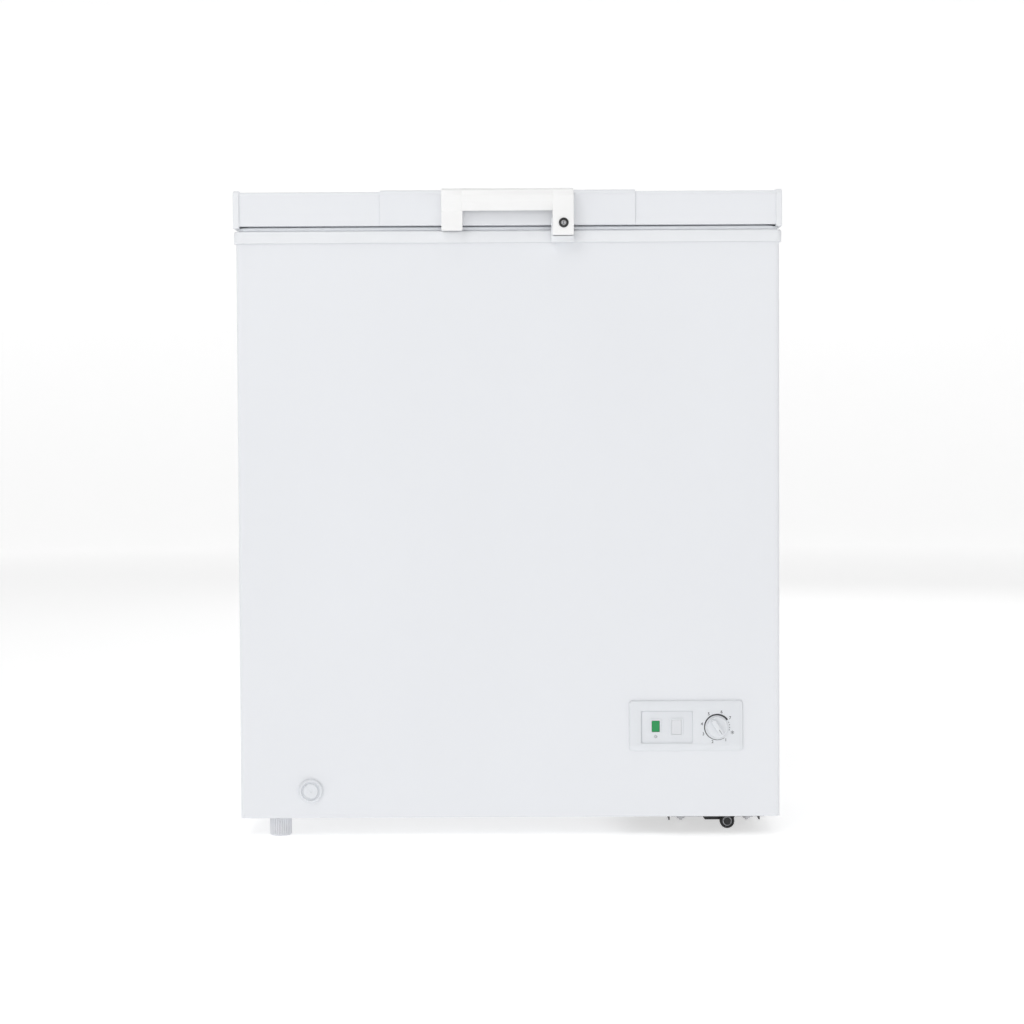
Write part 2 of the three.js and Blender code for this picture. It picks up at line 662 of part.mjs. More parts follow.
// ---------------------------------------------------------------- lock
// The heights run out of the handle's flat face.
function lockCylinder() {
  const tail = LOCK_FACE - HANDLE.cavity + 1.2;
  return turnedForward(
    [[0, tail - 7], [2.8, tail - 7], [2.8, tail - 2.5], [LOCK.radius, tail - 2.5], [LOCK.radius, 0.6],
     [LOCK.radius - 1, 1.4], [4.4, 1.4], [4, 0.6], [0, 0.6]],
    24,
  );
}

// An arm that hangs down when unlocked and turns sideways under the keeper's lip.
function lockCam() {
  const arm = alongY(roundedRectangle([-3, 3], [-13, 3], 2.9), [-257.6, -255.6], 3);
  const hub = rod(6, -257.6, -255.6, 18).rotate([-90, 0, 0]);
  return cut(arm.add(hub), rod(3.1, -270, -240, 18).rotate([-90, 0, 0]));
}

// A hook on the top frame's front, which stands up inside the handle's lock leg.
function latchKeeper() {
  return join([
    block([57, 86.4], [-262, FRONT - GAP], [780.5, 788.3]),
    block([57, 59.3], [-261, -253], [780.5, 812]),
    block([57, 66.5], [-261, -253], [809.3, 812]),
  ]);
}

// ---------------------------------------------------------------- hinges
// Drawn about the pin: y and z are from its axis, and x from the hinge's middle.
function knuckle(x, outline) {
  const eye = rod(HINGE.radius, 0, x[1] - x[0], 20).rotate([0, 90, 0]).translate([x[0], 0, 0]);
  const hole = rod(HINGE.pin + 0.1, -1, x[1] - x[0] + 1, 20).rotate([0, 90, 0]).translate([x[0], 0, 0]);
  return cut(eye.add(alongX(polygon(outline), x)), hole);
}

function hingeBodyLeaf() {
  const caseBack = BACK - CASE_INSET - HINGE.y;
  const y = [caseBack + GAP, caseBack + 2.3];
  const outline = [[y[0], -65], [y[1], -65], [9, 0], [0, 9], [-7.5, 0], [-7.5, -20], [y[0], -22]];
  const plate = block([-28, 28], y, [-85, -22]);
  return join([plate, knuckle([-27, -24.5], outline), knuckle([24.5, 27], outline)]);
}

function hingeLidLeaf() {
  const y = [BACK - HINGE.y + 0.4, BACK - HINGE.y + 2.4];
  const outline = [[y[0], 40], [y[0], 6], [0, -8], [9, 0], [y[1], 40]];
  const plate = block([-28, 28], y, [9.5, 44]);
  return join([plate, knuckle([-24, -21.5], outline), knuckle([21.5, 24], outline)]);
}

function hingePin() {
  return rod(HINGE.pin, -28, 28, 16).add(rod(6, -30.5, -28, 16)).rotate([0, 90, 0]);
}

// A torsion spring round the pin, with one leg on each leaf.
function hingeSpring() {
  const turns = 6;
  const stepsPerTurn = 8;
  const radius = 5.6;
  const points = [[-18, -5.1, 30], [-18, -radius, 6]];
  for (let i = 0; i <= turns * stepsPerTurn; i++) {
    const angle = Math.PI + (i / stepsPerTurn) * 2 * Math.PI;
    points.push([-17 + (34 * i) / (turns * stepsPerTurn), radius * Math.cos(angle), radius * Math.sin(angle)]);
  }
  points.push([18, -radius, -6], [18, -8.2, -50]);
  return tube(points, 1.1, 5);
}

// ---------------------------------------------------------------- basket
function wireBasket() {
  const wire = 1.6;
  const { x, y, rim, floor } = BASKET;
  const hoop = (z, radius, thickness) => {
    const corner = 14;
    const points = lapOf(x, y, corner);
    points.push([points[0][0], points[0][1] + 0.01], [points[1][0], points[1][1]]);
    return tube(points.map(([px, py]) => [px, py, z]), thickness, 4);
  };
  const even = (range, count) =>
    Array.from({ length: count }, (_, i) => range[0] + ((range[1] - range[0]) * (i + 1)) / (count + 1));
  const bend = 8;
  const across = (at, range, place) =>
    tube(
      [[range[0], rim], [range[0], floor + bend], [range[0] + bend, floor],
       [range[1] - bend, floor], [range[1], floor + bend], [range[1], rim]].map(([s, z]) => place(s, at, z)),
      wire, 4,
    );
  const hook = (at, edge, out) =>
    tube([[at, edge, rim], [at, edge, 788], [at, edge + out * 3, 791], [at, edge + out * 17, 791]], 2.2, 6);
  const hookX = [x[0] + 40, x[1] - 40];
  return join([
    hoop(rim, 14, 2.6),
    hoop(rim - 100, 14, wire),
    ...even(y, 5).map((at) => across(at, x, (s, a, z) => [s, a, z])),
    ...even(x, 3).map((at) => across(at, y, (s, a, z) => [a, s, z])),
    ...hookX.flatMap((at) => [hook(at, y[0], -1), hook(at, y[1], 1)]),
  ]);
}

function lapOf(x, y, corner) {
  const centres = [[x[1], y[1], -1, -1, 0], [x[0], y[1], 1, -1, 90], [x[0], y[0], 1, 1, 180], [x[1], y[0], -1, 1, 270]];
  return centres.flatMap(([cx, cy, sx, sy, start]) =>
    [0, 45, 90].map((turn) => {
      const angle = THREE.MathUtils.degToRad(start + turn);
      return [cx + sx * corner + corner * Math.cos(angle), cy + sy * corner + corner * Math.sin(angle)];
    }),
  );
}

// ---------------------------------------------------------------- assembly
const freezer = new THREE.Group();
const cabinet = new THREE.Group();
const machine = new THREE.Group();
const panel = new THREE.Group();
const lid = new THREE.Group();
freezer.add(cabinet, machine, panel, lid);

cabinet.add(
  piece("outer_case", outerCase(), FINISH.whitePaint),
  piece("back_panel", backPanel(), FINISH.zincSteel),
  piece("bottom_panel", bottomPanel(), FINISH.zincSteel),
  piece("insulation_foam", insulationFoam(), FINISH.foam),
  piece("inner_liner", innerLiner(), FINISH.aluminium),
  piece("top_frame", topFrame(), FINISH.whitePlastic),
  piece("rear_cover", rearCover(), FINISH.zincSteel),
  piece("cord_gland", cordGland(), FINISH.blackRubber),
  piece("side_vent_grille", sideVentGrille(), FINISH.whitePlastic),
  piece("latch_keeper", latchKeeper(), FINISH.whitePlastic),
  piece("drain_tube", drainTube(), FINISH.whitePlastic),
  piece("drain_stopper", drainStopper(), FINISH.whitePlastic, [DRAIN.x, DRAIN.y, 0]),
  piece("drain_cap", drainCap(), FINISH.whitePlastic, [DRAIN.x, CASE_FRONT, DRAIN.z]),
  piece("wire_basket", wireBasket(), FINISH.wire),
);
["front", "rear"].forEach((end, i) => {
  cabinet.add(piece(`levelling_foot_${end}`, levellingFoot(), FINISH.greyPlastic, footPlaces()[i]));
});

machine.add(
  piece("evaporator_coil", evaporatorCoil(), FINISH.aluminium),
  piece("condenser_coil", condenserCoil(), FINISH.copper),
  piece("filter_drier", filterDrier(), FINISH.copper),
  piece("compressor", compressor(), FINISH.blackSteel),
  piece("start_relay_cover", startRelayCover(), FINISH.blackRubber),
  piece("compressor_base_plate", basePlate(), FINISH.blackSteel),
  piece(
    "suction_line",
    tube([[260, 22.4, 130], [260, 48, 130], [264, 66, 138], [282, 84, 162], [299.6, 92, 200], [299.6, 92, 274.6]], 4, 8),
    FINISH.copper,
  ),
  piece(
    "discharge_line",
    tube([[300, 22.4, 120], [300, 60, 120], [308, 96, 122], [338, 160, 132], [351, 205, 150], [352.3, 222, 175],
      [352.3, 225, 195], [352.3, 225, 269.6]], 2.5, 8),
    FINISH.copper,
  ),
);
mountPlaces().forEach((place, i) => {
  machine.add(piece(`compressor_grommet_${i + 1}`, grommet(), FINISH.blackRubber, place));
  machine.add(piece(`compressor_bolt_${i + 1}`, mountBolt(), FINISH.zincSteel, place));
});

// The rear caster and its bracket are the front ones turned about the middle of the case.
const mirrored = (shape) => shape.mirror([0, 1, 0]).translate([0, 2 * CASE_MIDDLE_Y, 0]);
const wheelAtFront = casterWheel().translate([CASTER.x, CASTER.front + CASTER.width / 2, CASTER.radius]);
machine.add(
  piece("caster_bracket_front", casterBracket(), FINISH.blackSteel),
  piece("caster_bracket_rear", mirrored(casterBracket()), FINISH.blackSteel),
  piece("caster_wheel_front", wheelAtFront, FINISH.blackRubber),
  piece("caster_wheel_rear", mirrored(wheelAtFront), FINISH.blackRubber),
);

panel.add(
  piece("control_panel_bezel", controlPanelBezel(), FINISH.whitePlastic),
  piece("running_lamp_lens", lens(GREEN_LENS), FINISH.greenLens),
  piece("power_lamp_lens", lens(CLEAR_LENS), FINISH.clearLens),
  piece("lamp_holder", lampHolder(), FINISH.greyPlastic),
  piece("thermostat_body", thermostatBody(), FINISH.zincSteel),
  piece("thermostat_knob", thermostatKnob(), FINISH.whitePlastic, [KNOB.x, FRONT, KNOB.z]),
);

lid.add(
  piece("lid_outer_panel", lidOuterPanel(), FINISH.whitePaint),
  piece("lid_inner_liner", lidInnerLiner(), FINISH.whitePlastic),
  piece("lid_foam", lidFoam(), FINISH.foam),
  piece("lid_gasket", lidGasket(), FINISH.gasket),
  piece("lid_end_trim_right", lidEndTrim(), FINISH.whitePlastic),
  piece("lid_end_trim_left", lidEndTrim().mirror([1, 0, 0]), FINISH.whitePlastic),
  piece("handle_backplate", handleBackplate(), FINISH.whitePaint),
  piece("handle", handle(), FINISH.handlePlastic),
  piece("lock_cylinder", lockCylinder(), FINISH.lockMetal, [LOCK.x, LOCK_FACE, LOCK.z]),
  piece("lock_cam", lockCam(), FINISH.zincSteel, [LOCK.x, 0, LOCK.z]),
);

[["left", -1], ["right", 1]].forEach(([side, sign]) => {
  const hinge = new THREE.Group();
  hinge.position.set(sign * HINGE.x, HINGE.y, HINGE.z);
  hinge.add(
    piece(`hinge_body_leaf_${side}`, hingeBodyLeaf(), FINISH.zincSteel),
    piece(`hinge_lid_leaf_${side}`, hingeLidLeaf(), FINISH.zincSteel),
    piece(`hinge_pin_${side}`, hingePin(), FINISH.zincSteel),
    piece(`hinge_spring_${side}`, hingeSpring(), FINISH.zincSteel),
  );
  freezer.add(hinge);
});

export default freezer;
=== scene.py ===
"""A small white chest freezer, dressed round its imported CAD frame."""

import logging
import math
from dataclasses import dataclass, field
from enum import Enum
from typing import Any, Callable, Sequence

import bmesh
import bpy
import numpy as np
from mathutils import Matrix, Vector


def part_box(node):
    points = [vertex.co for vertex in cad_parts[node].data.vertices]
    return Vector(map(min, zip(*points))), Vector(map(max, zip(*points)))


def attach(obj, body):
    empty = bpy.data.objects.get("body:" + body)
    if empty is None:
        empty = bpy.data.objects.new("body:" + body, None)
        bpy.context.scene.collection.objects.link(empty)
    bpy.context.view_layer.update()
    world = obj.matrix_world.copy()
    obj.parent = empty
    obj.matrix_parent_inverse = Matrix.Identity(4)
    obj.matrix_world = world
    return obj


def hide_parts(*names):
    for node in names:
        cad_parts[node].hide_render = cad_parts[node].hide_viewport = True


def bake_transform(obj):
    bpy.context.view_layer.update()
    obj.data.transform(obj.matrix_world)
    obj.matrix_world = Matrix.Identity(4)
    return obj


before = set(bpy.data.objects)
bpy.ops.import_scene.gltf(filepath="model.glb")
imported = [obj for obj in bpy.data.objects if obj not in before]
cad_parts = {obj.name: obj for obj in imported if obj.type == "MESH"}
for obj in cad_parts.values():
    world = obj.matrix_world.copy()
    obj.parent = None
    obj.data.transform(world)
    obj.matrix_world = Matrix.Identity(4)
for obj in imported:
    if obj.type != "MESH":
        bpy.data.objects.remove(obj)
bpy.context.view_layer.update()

LOG = logging.getLogger("freezer")
MM = 0.001
TAU = 2.0 * math.pi
FRONT_OF_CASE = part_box("outer_case")[0].y

Array = np.ndarray
Colour = tuple[float, float, float]


# ---------------------------------------------------------------- shader writing
class Value:
    """A number in a material, on which sums are written as Python expressions."""

    def __init__(self, paint: "Paint", socket: Any) -> None:
        """Wraps one output socket of a paint's node tree."""
        self.paint = paint
        self.socket = socket

    def _math(self, operation: str, *inputs: Any, clamp: bool = False) -> "Value":
        """Adds one Math node whose inputs are numbers or values."""
        settings = {"operation": operation, "use_clamp": clamp}
        made = self.paint.node("ShaderNodeMath", settings, dict(enumerate(inputs)))
        return Value(self.paint, made.outputs[0])

    def __add__(self, other: Any) -> "Value":
        """self + other."""
        return self._math("ADD", self, other)

    __radd__ = __add__

    def __sub__(self, other: Any) -> "Value":
        """self - other."""
        return self._math("SUBTRACT", self, other)

    def __rsub__(self, other: Any) -> "Value":
        """other - self."""
        return self._math("SUBTRACT", other, self)

    def __mul__(self, other: Any) -> "Value":
        """self * other."""
        return self._math("MULTIPLY", self, other)

    __rmul__ = __mul__

    def __pow__(self, power: float) -> "Value":
        """self raised to a power."""
        return self._math("POWER", self, power)

    def clamped(self) -> "Value":
        """The value kept between 0 and 1."""
        return self._math("ADD", self, 0.0, clamp=True)

    def above(self, edge: float, softness: float) -> "Value":
        """0 below edge, 1 above edge + softness, and a straight ramp between."""
        return ((self - edge) * (1.0 / softness)).clamped()

    def sine(self) -> "Value":
        """The sine of the value in radians."""
        return self._math("SINE", self)


class Paint:
    """The node tree of one material, written through one node-making method."""

    def __init__(self, name: str) -> None:
        """Starts an empty material of that name, with only its output and its Principled shader."""
        self.material = bpy.data.materials.new(name)
        self.material.use_nodes = True
        self.tree = self.material.node_tree
        self.tree.nodes.clear()
        self.shader = self.node("ShaderNodeBsdfPrincipled", {}, {})
        self.node("ShaderNodeOutputMaterial", {}, {0: self.shader.outputs[0]})

    def node(self, kind: str, settings: dict[str, Any], values: dict[Any, Any]) -> Any:
        """Makes a node, sets it up, and fills its sockets.

        Args:
            kind: Blender's type name of the node.
            settings: The node's own properties. A ramp's stops are given as "stops".
            values: Socket name or number to a constant, a Value or an output socket.

        Returns:
            The node.
        """
        made = self.tree.nodes.new(kind)
        for key, value in settings.items():
            if key == "stops":
                self._set_stops(made.color_ramp.elements, value)
            else:
                setattr(made, key, value)
        for key, value in values.items():
            self.feed(made.inputs[key], value)
        return made

    @staticmethod
    def _set_stops(elements: Any, stops: Sequence[tuple[float, Colour]]) -> None:
        """Replaces a ramp's stops by (position, colour) pairs."""
        while len(elements) < len(stops):
            elements.new(1.0)
        for element, (position, colour) in zip(elements, stops):
            element.position = position
            element.color = (*colour, 1.0)

    def feed(self, socket: Any, value: Any) -> None:
        """Puts a constant on a socket, or links a value or an output socket to it."""
        if isinstance(value, Value):
            value = value.socket
        if isinstance(value, bpy.types.NodeSocket):
            self.tree.links.new(value, socket)
        elif isinstance(value, tuple) and len(value) == 3 and socket.type == "RGBA":
            socket.default_value = (*value, 1.0)
        else:
            socket.default_value = value

    def place(self, scale: Sequence[float] = (1.0, 1.0, 1.0)) -> Any:
        """The point on the object, in metres, stretched by a scale on each axis."""
        point = self.node("ShaderNodeTexCoord", {}, {}).outputs["Object"]
        mapping = {"Vector": point, "Scale": tuple(scale)}
        return self.node("ShaderNodeMapping", {}, mapping).outputs[0]

    def axis(self, name: str) -> Value:
        """One coordinate, X, Y or Z, of the point on the object in metres."""
        split = self.node("ShaderNodeSeparateXYZ", {}, {0: self.place()})
        return Value(self, split.outputs[name])

    def noise(self, size: float, detail: float = 2.0, stretch: Sequence[float] = (1, 1, 1)) -> Value:
        """Noise from 0 to 1 with features of a size in metres."""
        values = {"Vector": self.place(stretch), "Scale": 1.0 / size, "Detail": detail}
        return Value(self, self.node("ShaderNodeTexNoise", {}, values).outputs["Fac"])

    def cells(self, size: float, feature: str = "F1", output: str = "Distance") -> Any:
        """Voronoi cells of a size in metres."""
        values = {"Vector": self.place(), "Scale": 1.0 / size}
        return self.node("ShaderNodeTexVoronoi", {"feature": feature}, values).outputs[output]

    def blend(self, factor: Any, first: Any, second: Any) -> Any:
        """The first colour where the factor is 0 and the second where it is 1."""
        values = {"Factor": factor, 6: first, 7: second}
        return self.node("ShaderNodeMix", {"data_type": "RGBA"}, values).outputs[2]

    def bump(self, height: Value, depth: float, strength: float = 1.0) -> None:
        """Gives the surface a relief of a height from 0 to 1 and a depth in metres."""
        values = {"Height": height, "Distance": depth, "Strength": strength}
        self.feed(self.shader.inputs["Normal"], self.node("ShaderNodeBump", {}, values).outputs[0])

    def surface(self, **values: Any) -> bpy.types.Material:
        """Fills the shader's sockets, named with _ for a space, and gives the material."""
        for key, value in values.items():
            self.feed(self.shader.inputs[key.replace("_", " ")], value)
        return self.material


def shade(colour: Colour, factor: float) -> Colour:
    """A colour made lighter or darker by a factor."""
    return tuple(min(channel * factor, 1.0) for channel in colour)


# ---------------------------------------------------------------- finishes
@dataclass(frozen=True)
class PaintedSteel:
    """Powder-coated sheet: faint orange peel, a hardly visible waviness painted lighter on its crests and
    darker in its hollows as light and shade, and handling marks.
    """

    name: str
    colour: Colour
    roughness: float = 0.34
    peel: float = 0.0022
    relief: float = 0.000012

    def material(self) -> bpy.types.Material:
        """Builds the finish."""
        paint = Paint(self.name)
        peel = paint.noise(self.peel, 1.0)
        waves_and_shade = paint.noise(0.16, 1.0, (1.0, 1.0, 0.4))
        marks = paint.noise(0.05, 4.0).above(0.52, 0.3)
        paint.bump(peel + waves_and_shade * 6.0, self.relief)
        # painted light and shade: the colour is lighter on the wave crests and darker in their hollows
        tone = paint.blend(waves_and_shade, shade(self.colour, 0.985), shade(self.colour, 1.01))
        return paint.surface(
            Base_Color=tone, Roughness=marks * 0.07 + self.roughness, Coat_Weight=0.15, Coat_Roughness=0.2
        )


@dataclass(frozen=True)
class Moulding:
    """Injection-moulded plastic with a fine spark-eroded grain."""

    name: str
    colour: Colour
    roughness: float = 0.38
    grain: float = 0.0007
    relief: float = 0.00001

    def material(self) -> bpy.types.Material:
        """Builds the finish."""
        paint = Paint(self.name)
        grain = paint.noise(self.grain, 2.0)
        drift = paint.noise(0.03, 2.0)
        paint.bump(grain, self.relief)
        tone = paint.blend(drift, shade(self.colour, 0.975), shade(self.colour, 1.01))
        return paint.surface(Base_Color=tone, Roughness=grain * 0.08 + self.roughness, IOR=1.49)


@dataclass(frozen=True)
class ZincSheet:
    """Galvanised sheet: spangle grains that differ in brightness, and rolling lines."""

    name: str
    colour: Colour = (0.56, 0.57, 0.59)
    spangle: float = 0.009

    def material(self) -> bpy.types.Material:
        """Builds the finish."""
        paint = Paint(self.name)
        grain = paint.node("ShaderNodeSeparateColor", {}, {0: paint.cells(self.spangle, "F1", "Color")})
        spangle = Value(paint, grain.outputs[0])
        lines = paint.noise(0.004, 3.0, (1.0, 1.0, 0.06))
        paint.bump(lines + spangle * 0.5, 0.000015)
        tone = paint.blend(spangle, shade(self.colour, 0.92), shade(self.colour, 1.07))
        return paint.surface(Base_Color=tone, Metallic=0.85, Roughness=spangle * 0.14 + lines * 0.1 + 0.3)


@dataclass(frozen=True)
class EmbossedAluminium:
    """Thin aluminium sheet rolled with a stucco pattern of small rounded pebble shapes, its colour painted
    darker between them as shade.
    """

    name: str
    colour: Colour = (0.9, 0.905, 0.915)
    pebble: float = 0.0085

    def material(self) -> bpy.types.Material:
        """Builds the finish."""
        paint = Paint(self.name)
        pebbles_and_shade = 1.0 - Value(paint, paint.cells(self.pebble, "SMOOTH_F1"))
        wander = paint.noise(0.006, 2.0)
        paint.bump(pebbles_and_shade + wander * 0.5, 0.0012, 0.8)
        # painted shade: darker between the pebble tops, full colour on them
        tone = paint.blend(pebbles_and_shade, shade(self.colour, 0.8), self.colour)
        return paint.surface(Base_Color=tone, Metallic=0.3, Roughness=wander * 0.12 + 0.3)


@dataclass(frozen=True)
class Enamel:
    """Black stoved enamel or a dark moulding, dusty on its flats."""

    name: str
    colour: Colour = (0.012, 0.012, 0.013)
    roughness: float = 0.38

    def material(self) -> bpy.types.Material:
        """Builds the finish."""
        paint = Paint(self.name)
        dust = paint.noise(0.02, 5.0).above(0.45, 0.4)
        paint.bump(paint.noise(0.0015, 2.0), 0.00002)
        tone = paint.blend(dust * 0.12, self.colour, (0.16, 0.155, 0.15))
        return paint.surface(Base_Color=tone, Roughness=dust * 0.22 + self.roughness)


@dataclass(frozen=True)
class Copper:
    """Drawn copper tube with brown oxide in patches and drawing lines."""

    name: str

    def material(self) -> bpy.types.Material:
        """Builds the finish."""
        paint = Paint(self.name)
        oxide = paint.noise(0.018, 4.0).above(0.4, 0.35)
        tone = paint.blend(oxide, (0.80, 0.40, 0.24), (0.42, 0.17, 0.09))
        paint.bump(paint.noise(0.0008, 2.0), 0.00001)
        return paint.surface(Base_Color=tone, Metallic=0.95, Roughness=oxide * 0.25 + 0.22)


@dataclass(frozen=True)
class RigidFoam:
    """Cut polyurethane foam with open cells and darker patches."""

    name: str

    def material(self) -> bpy.types.Material:
        """Builds the finish."""
        paint = Paint(self.name)
        cells = Value(paint, paint.cells(0.0016))
        patches = paint.noise(0.03, 3.0)
        paint.bump(1.0 - cells, 0.0004)
        tone = paint.blend(patches, (0.78, 0.66, 0.40), (0.88, 0.78, 0.54))
        return paint.surface(Base_Color=tone, Roughness=cells * 0.1 + 0.85)


@dataclass(frozen=True)
class Lens:
    """A plastic lens with a moulded pattern of squares, lit or dark behind."""

    name: str
    colour: Colour
    glow: float
    pitch: float

    def material(self) -> bpy.types.Material:
        """Builds the finish: the relief is the sum of a sine across and a sine up, and the colour is painted
        darker in its hollows as shade.
        """
        paint = Paint(self.name)
        turns = TAU / self.pitch
        relief = (paint.axis("X") * turns).sine() + (paint.axis("Z") * turns).sine()
        paint.bump(relief * 0.25 + 0.5, 0.00022)
        # painted shade: the colour is darker where the relief is low
        tone = paint.blend(relief * 0.25 + 0.5, shade(self.colour, 0.8), self.colour)
        return paint.surface(
            Base_Color=tone, Emission_Color=self.colour, Emission_Strength=self.glow, Roughness=0.16,
            IOR=1.52
        )


@dataclass(frozen=True)
class Plated:
    """Zinc-plated or chromed small hardware, brushed round or along."""

    name: str
    colour: Colour = (0.62, 0.62, 0.64)
    roughness: float = 0.25

    def material(self) -> bpy.types.Material:
        """Builds the finish."""
        paint = Paint(self.name)
        scratches = paint.noise(0.0012, 4.0, (0.12, 1.0, 1.0))
        stain = paint.noise(0.012, 3.0)
        paint.bump(scratches, 0.000012)
        tone = paint.blend(stain, shade(self.colour, 0.85), shade(self.colour, 1.06))
        return paint.surface(Base_Color=tone, Metallic=0.95, Roughness=stain * 0.16 + self.roughness)


class Finish(Enum):
    """Every finish on the freezer, by the record's material slot."""

    WHITE_STEEL = ("white_painted_steel", PaintedSteel("case_white", (0.815, 0.83, 0.86)))
    ZINC = ("galvanised_steel", ZincSheet("zinc_sheet"))
    HARDWARE = ("galvanised_steel", Plated("zinc_plate"))
    LINER = ("liner_aluminium", EmbossedAluminium("stucco_aluminium"))
    FOAM = ("foam", RigidFoam("cream_foam"))
    WHITE_PLASTIC = ("white_plastic", Moulding("trim_white", (0.83, 0.845, 0.87)))
    PANEL_PLASTIC = ("white_plastic", Moulding("panel_white", (0.775, 0.795, 0.825), 0.3, 0.0005))
    HANDLE_PLASTIC = ("handle_plastic",
                      Moulding("handle_white", (0.925, 0.925, 0.922), 0.28, 0.0009, 0.000004))
    GREY_PLASTIC = ("grey_plastic", Moulding("foot_grey", (0.74, 0.75, 0.78), 0.45))
    GASKET = ("gasket_vinyl", Moulding("gasket_grey", (0.88, 0.9, 0.93), 0.5, 0.001))
    BLACK_STEEL = ("black_steel", Enamel("black_enamel"))
    BLACK_RUBBER = ("black_rubber", Enamel("soft_rubber", (0.018, 0.018, 0.018), 0.7))
    BLACK_PLASTIC = ("black_plastic", Enamel("black_moulding", (0.015, 0.015, 0.016), 0.45))
    COPPER = ("copper", Copper("copper_tube"))
    GREEN_LENS = ("green_lens", Lens("green_window", (0.006, 0.3, 0.08), 0.08, 0.0016))
    CLEAR_LENS = ("clear_lens", Lens("clear_window", (0.85, 0.865, 0.895), 0.0, 0.0013))
    LOCK_METAL = ("lock_metal", Plated("lock_nickel", (0.5, 0.5, 0.52), 0.22))
    WIRE = ("wire_coating", Moulding("wire_white", (0.88, 0.88, 0.87), 0.3, 0.002))
    PRINT = ("white_plastic", Enamel("black_print", (0.02, 0.02, 0.025), 0.5))
    GREY_PRINT = ("white_plastic", Enamel("grey_print", (0.3, 0.31, 0.33), 0.5))

    @property
    def slot(self) -> str:
        """The record's material slot."""
        return self.value[0]

    @property
    def material(self) -> bpy.types.Material:
        """The Blender material, made when it is first asked for."""
        finish = self.value[1]
        return bpy.data.materials.get(finish.name) or finish.material()


# ---------------------------------------------------------------- surfaces
def grid_faces(rows: int, columns: int, close_rows: bool = False, close_columns: bool = False) -> Array:
    """Quads of a grid of points numbered row by row.

    Args:
        rows: Number of rows of points.
        columns: Number of points in a row.
        close_rows: Whether the last row joins the first.
        close_columns: Whether each row is a ring.

    Returns:
        An array of four point numbers for each face.
    """
    row = np.arange(rows if close_rows else rows - 1)[:, None]
    column = np.arange(columns if close_columns else columns - 1)[None, :]
    next_row, next_column = (row + 1) % rows, (column + 1) % columns
    corners = (row * columns + column, row * columns + next_column,
               next_row * columns + next_column, next_row * columns + column)
    return np.stack([np.broadcast_to(c, (row.size, column.size)) for c in corners], -1).reshape(-1, 4)


class Surface:
    """Points, in millimetres, and faces gathered for one piece."""

    def __init__(self) -> None:
        """Starts empty."""
        self.points: list[Array] = []
        self.faces: list[list[int]] = []
        self.count = 0

    def add(self, points: Array, faces: Any) -> "Surface":
        """Adds points (n, 3) and the faces that number them from 0."""
        self.faces.extend([int(i) + self.count for i in face] for face in faces)
        self.points.append(np.asarray(points, float).reshape(-1, 3))
        self.count += len(self.points[-1])
        return self

    def loft(self, rings: Array, caps: bool = True, close_rows: bool = False) -> "Surface":
        """Skins rings of points, an array (rings, points, 3), and closes the ends with flat faces."""
        rows, columns = rings.shape[:2]
        faces = [list(f) for f in grid_faces(rows, columns, close_rows, True)]
        if caps and not close_rows:
            faces.append(list(range(columns))[::-1])
            faces.append(list(range((rows - 1) * columns, rows * columns)))
        return self.add(rings, faces)

    def build(
        self, name: str, finish: Finish, body: str, replaces: Sequence[str] = (), sharp: float = 35.0
    ) -> bpy.types.Object:
        """Makes the piece.

        Args:
            name: The object's name.
            finish: What it is finished with.
            body: The CAD body that it moves with.
            replaces: The CAD nodes that it stands for.
            sharp: The angle in degrees from which an edge stays sharp.

        Returns:
            The object, with its faces pointing outwards.
        """
        mesh = bpy.data.meshes.new(name)
        mesh.from_pydata((np.concatenate(self.points) * MM).tolist(), [], self.faces)
        mesh.validate()
        piece = bpy.data.objects.new(name, mesh)
        bpy.context.scene.collection.objects.link(piece)
        recalculate_normals(mesh)
        smooth(mesh, sharp)
        register(piece, finish, body, replaces)
        return piece


def recalculate_normals(mesh: bpy.types.Mesh) -> None:
    """Merges doubles and turns every closed shell's faces outwards."""
    work = bmesh.new()
    work.from_mesh(mesh)
    bmesh.ops.remove_doubles(work, verts=work.verts, dist=1e-7)
    bmesh.ops.dissolve_degenerate(work, dist=1e-7, edges=work.edges)
    bmesh.ops.recalc_face_normals(work, faces=work.faces)
    work.to_mesh(mesh)
    work.free()


def smooth(mesh: bpy.types.Mesh, sharp: float) -> None:
    """Shades a mesh smooth, except across edges sharper than an angle in degrees."""
    mesh.shade_smooth()
    mesh.set_sharp_from_angle(angle=math.radians(sharp))


def register(piece: bpy.types.Object, finish: Finish, body: str, replaces: Sequence[str] = ()) -> None:
    """Gives a piece its material, and sets what it rides on and replaces."""
    piece.data.materials.clear()
    piece.data.materials.append(finish.material)
    finish.slot
    if body:
        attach(piece, body)
    if replaces:
        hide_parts(*replaces)
    LOG.info("%s rides on %s", piece.name, body or "two bodies")


def arc_corners(centres: Array, radius: float, start: float, sweep: float, steps: int) -> Array:
    """Points on equal arcs about several centres, each turned a further quarter: (centres, steps, 2)."""
    quarter = np.arange(len(centres))[:, None] * (math.pi / 2)
    angle = start + quarter + np.linspace(0, sweep, steps)[None, :]
    return centres[:, None, :] + radius * np.stack([np.cos(angle), np.sin(angle)], -1)


def rounded_rectangle(low: Sequence[float], high: Sequence[float], radius: float, steps: int = 8) -> Array:
    """A rectangle whose corners are arcs, counter-clockwise from the upper right corner: (4 * steps, 2)."""
    (x0, y0), (x1, y1) = low, high
    r = max(radius, 1e-5)
    centres = np.array([[x1 - r, y1 - r], [x0 + r, y1 - r], [x0 + r, y0 + r], [x1 - r, y0 + r]])
    return arc_corners(centres, r, 0.0, math.pi / 2, steps).reshape(-1, 2)


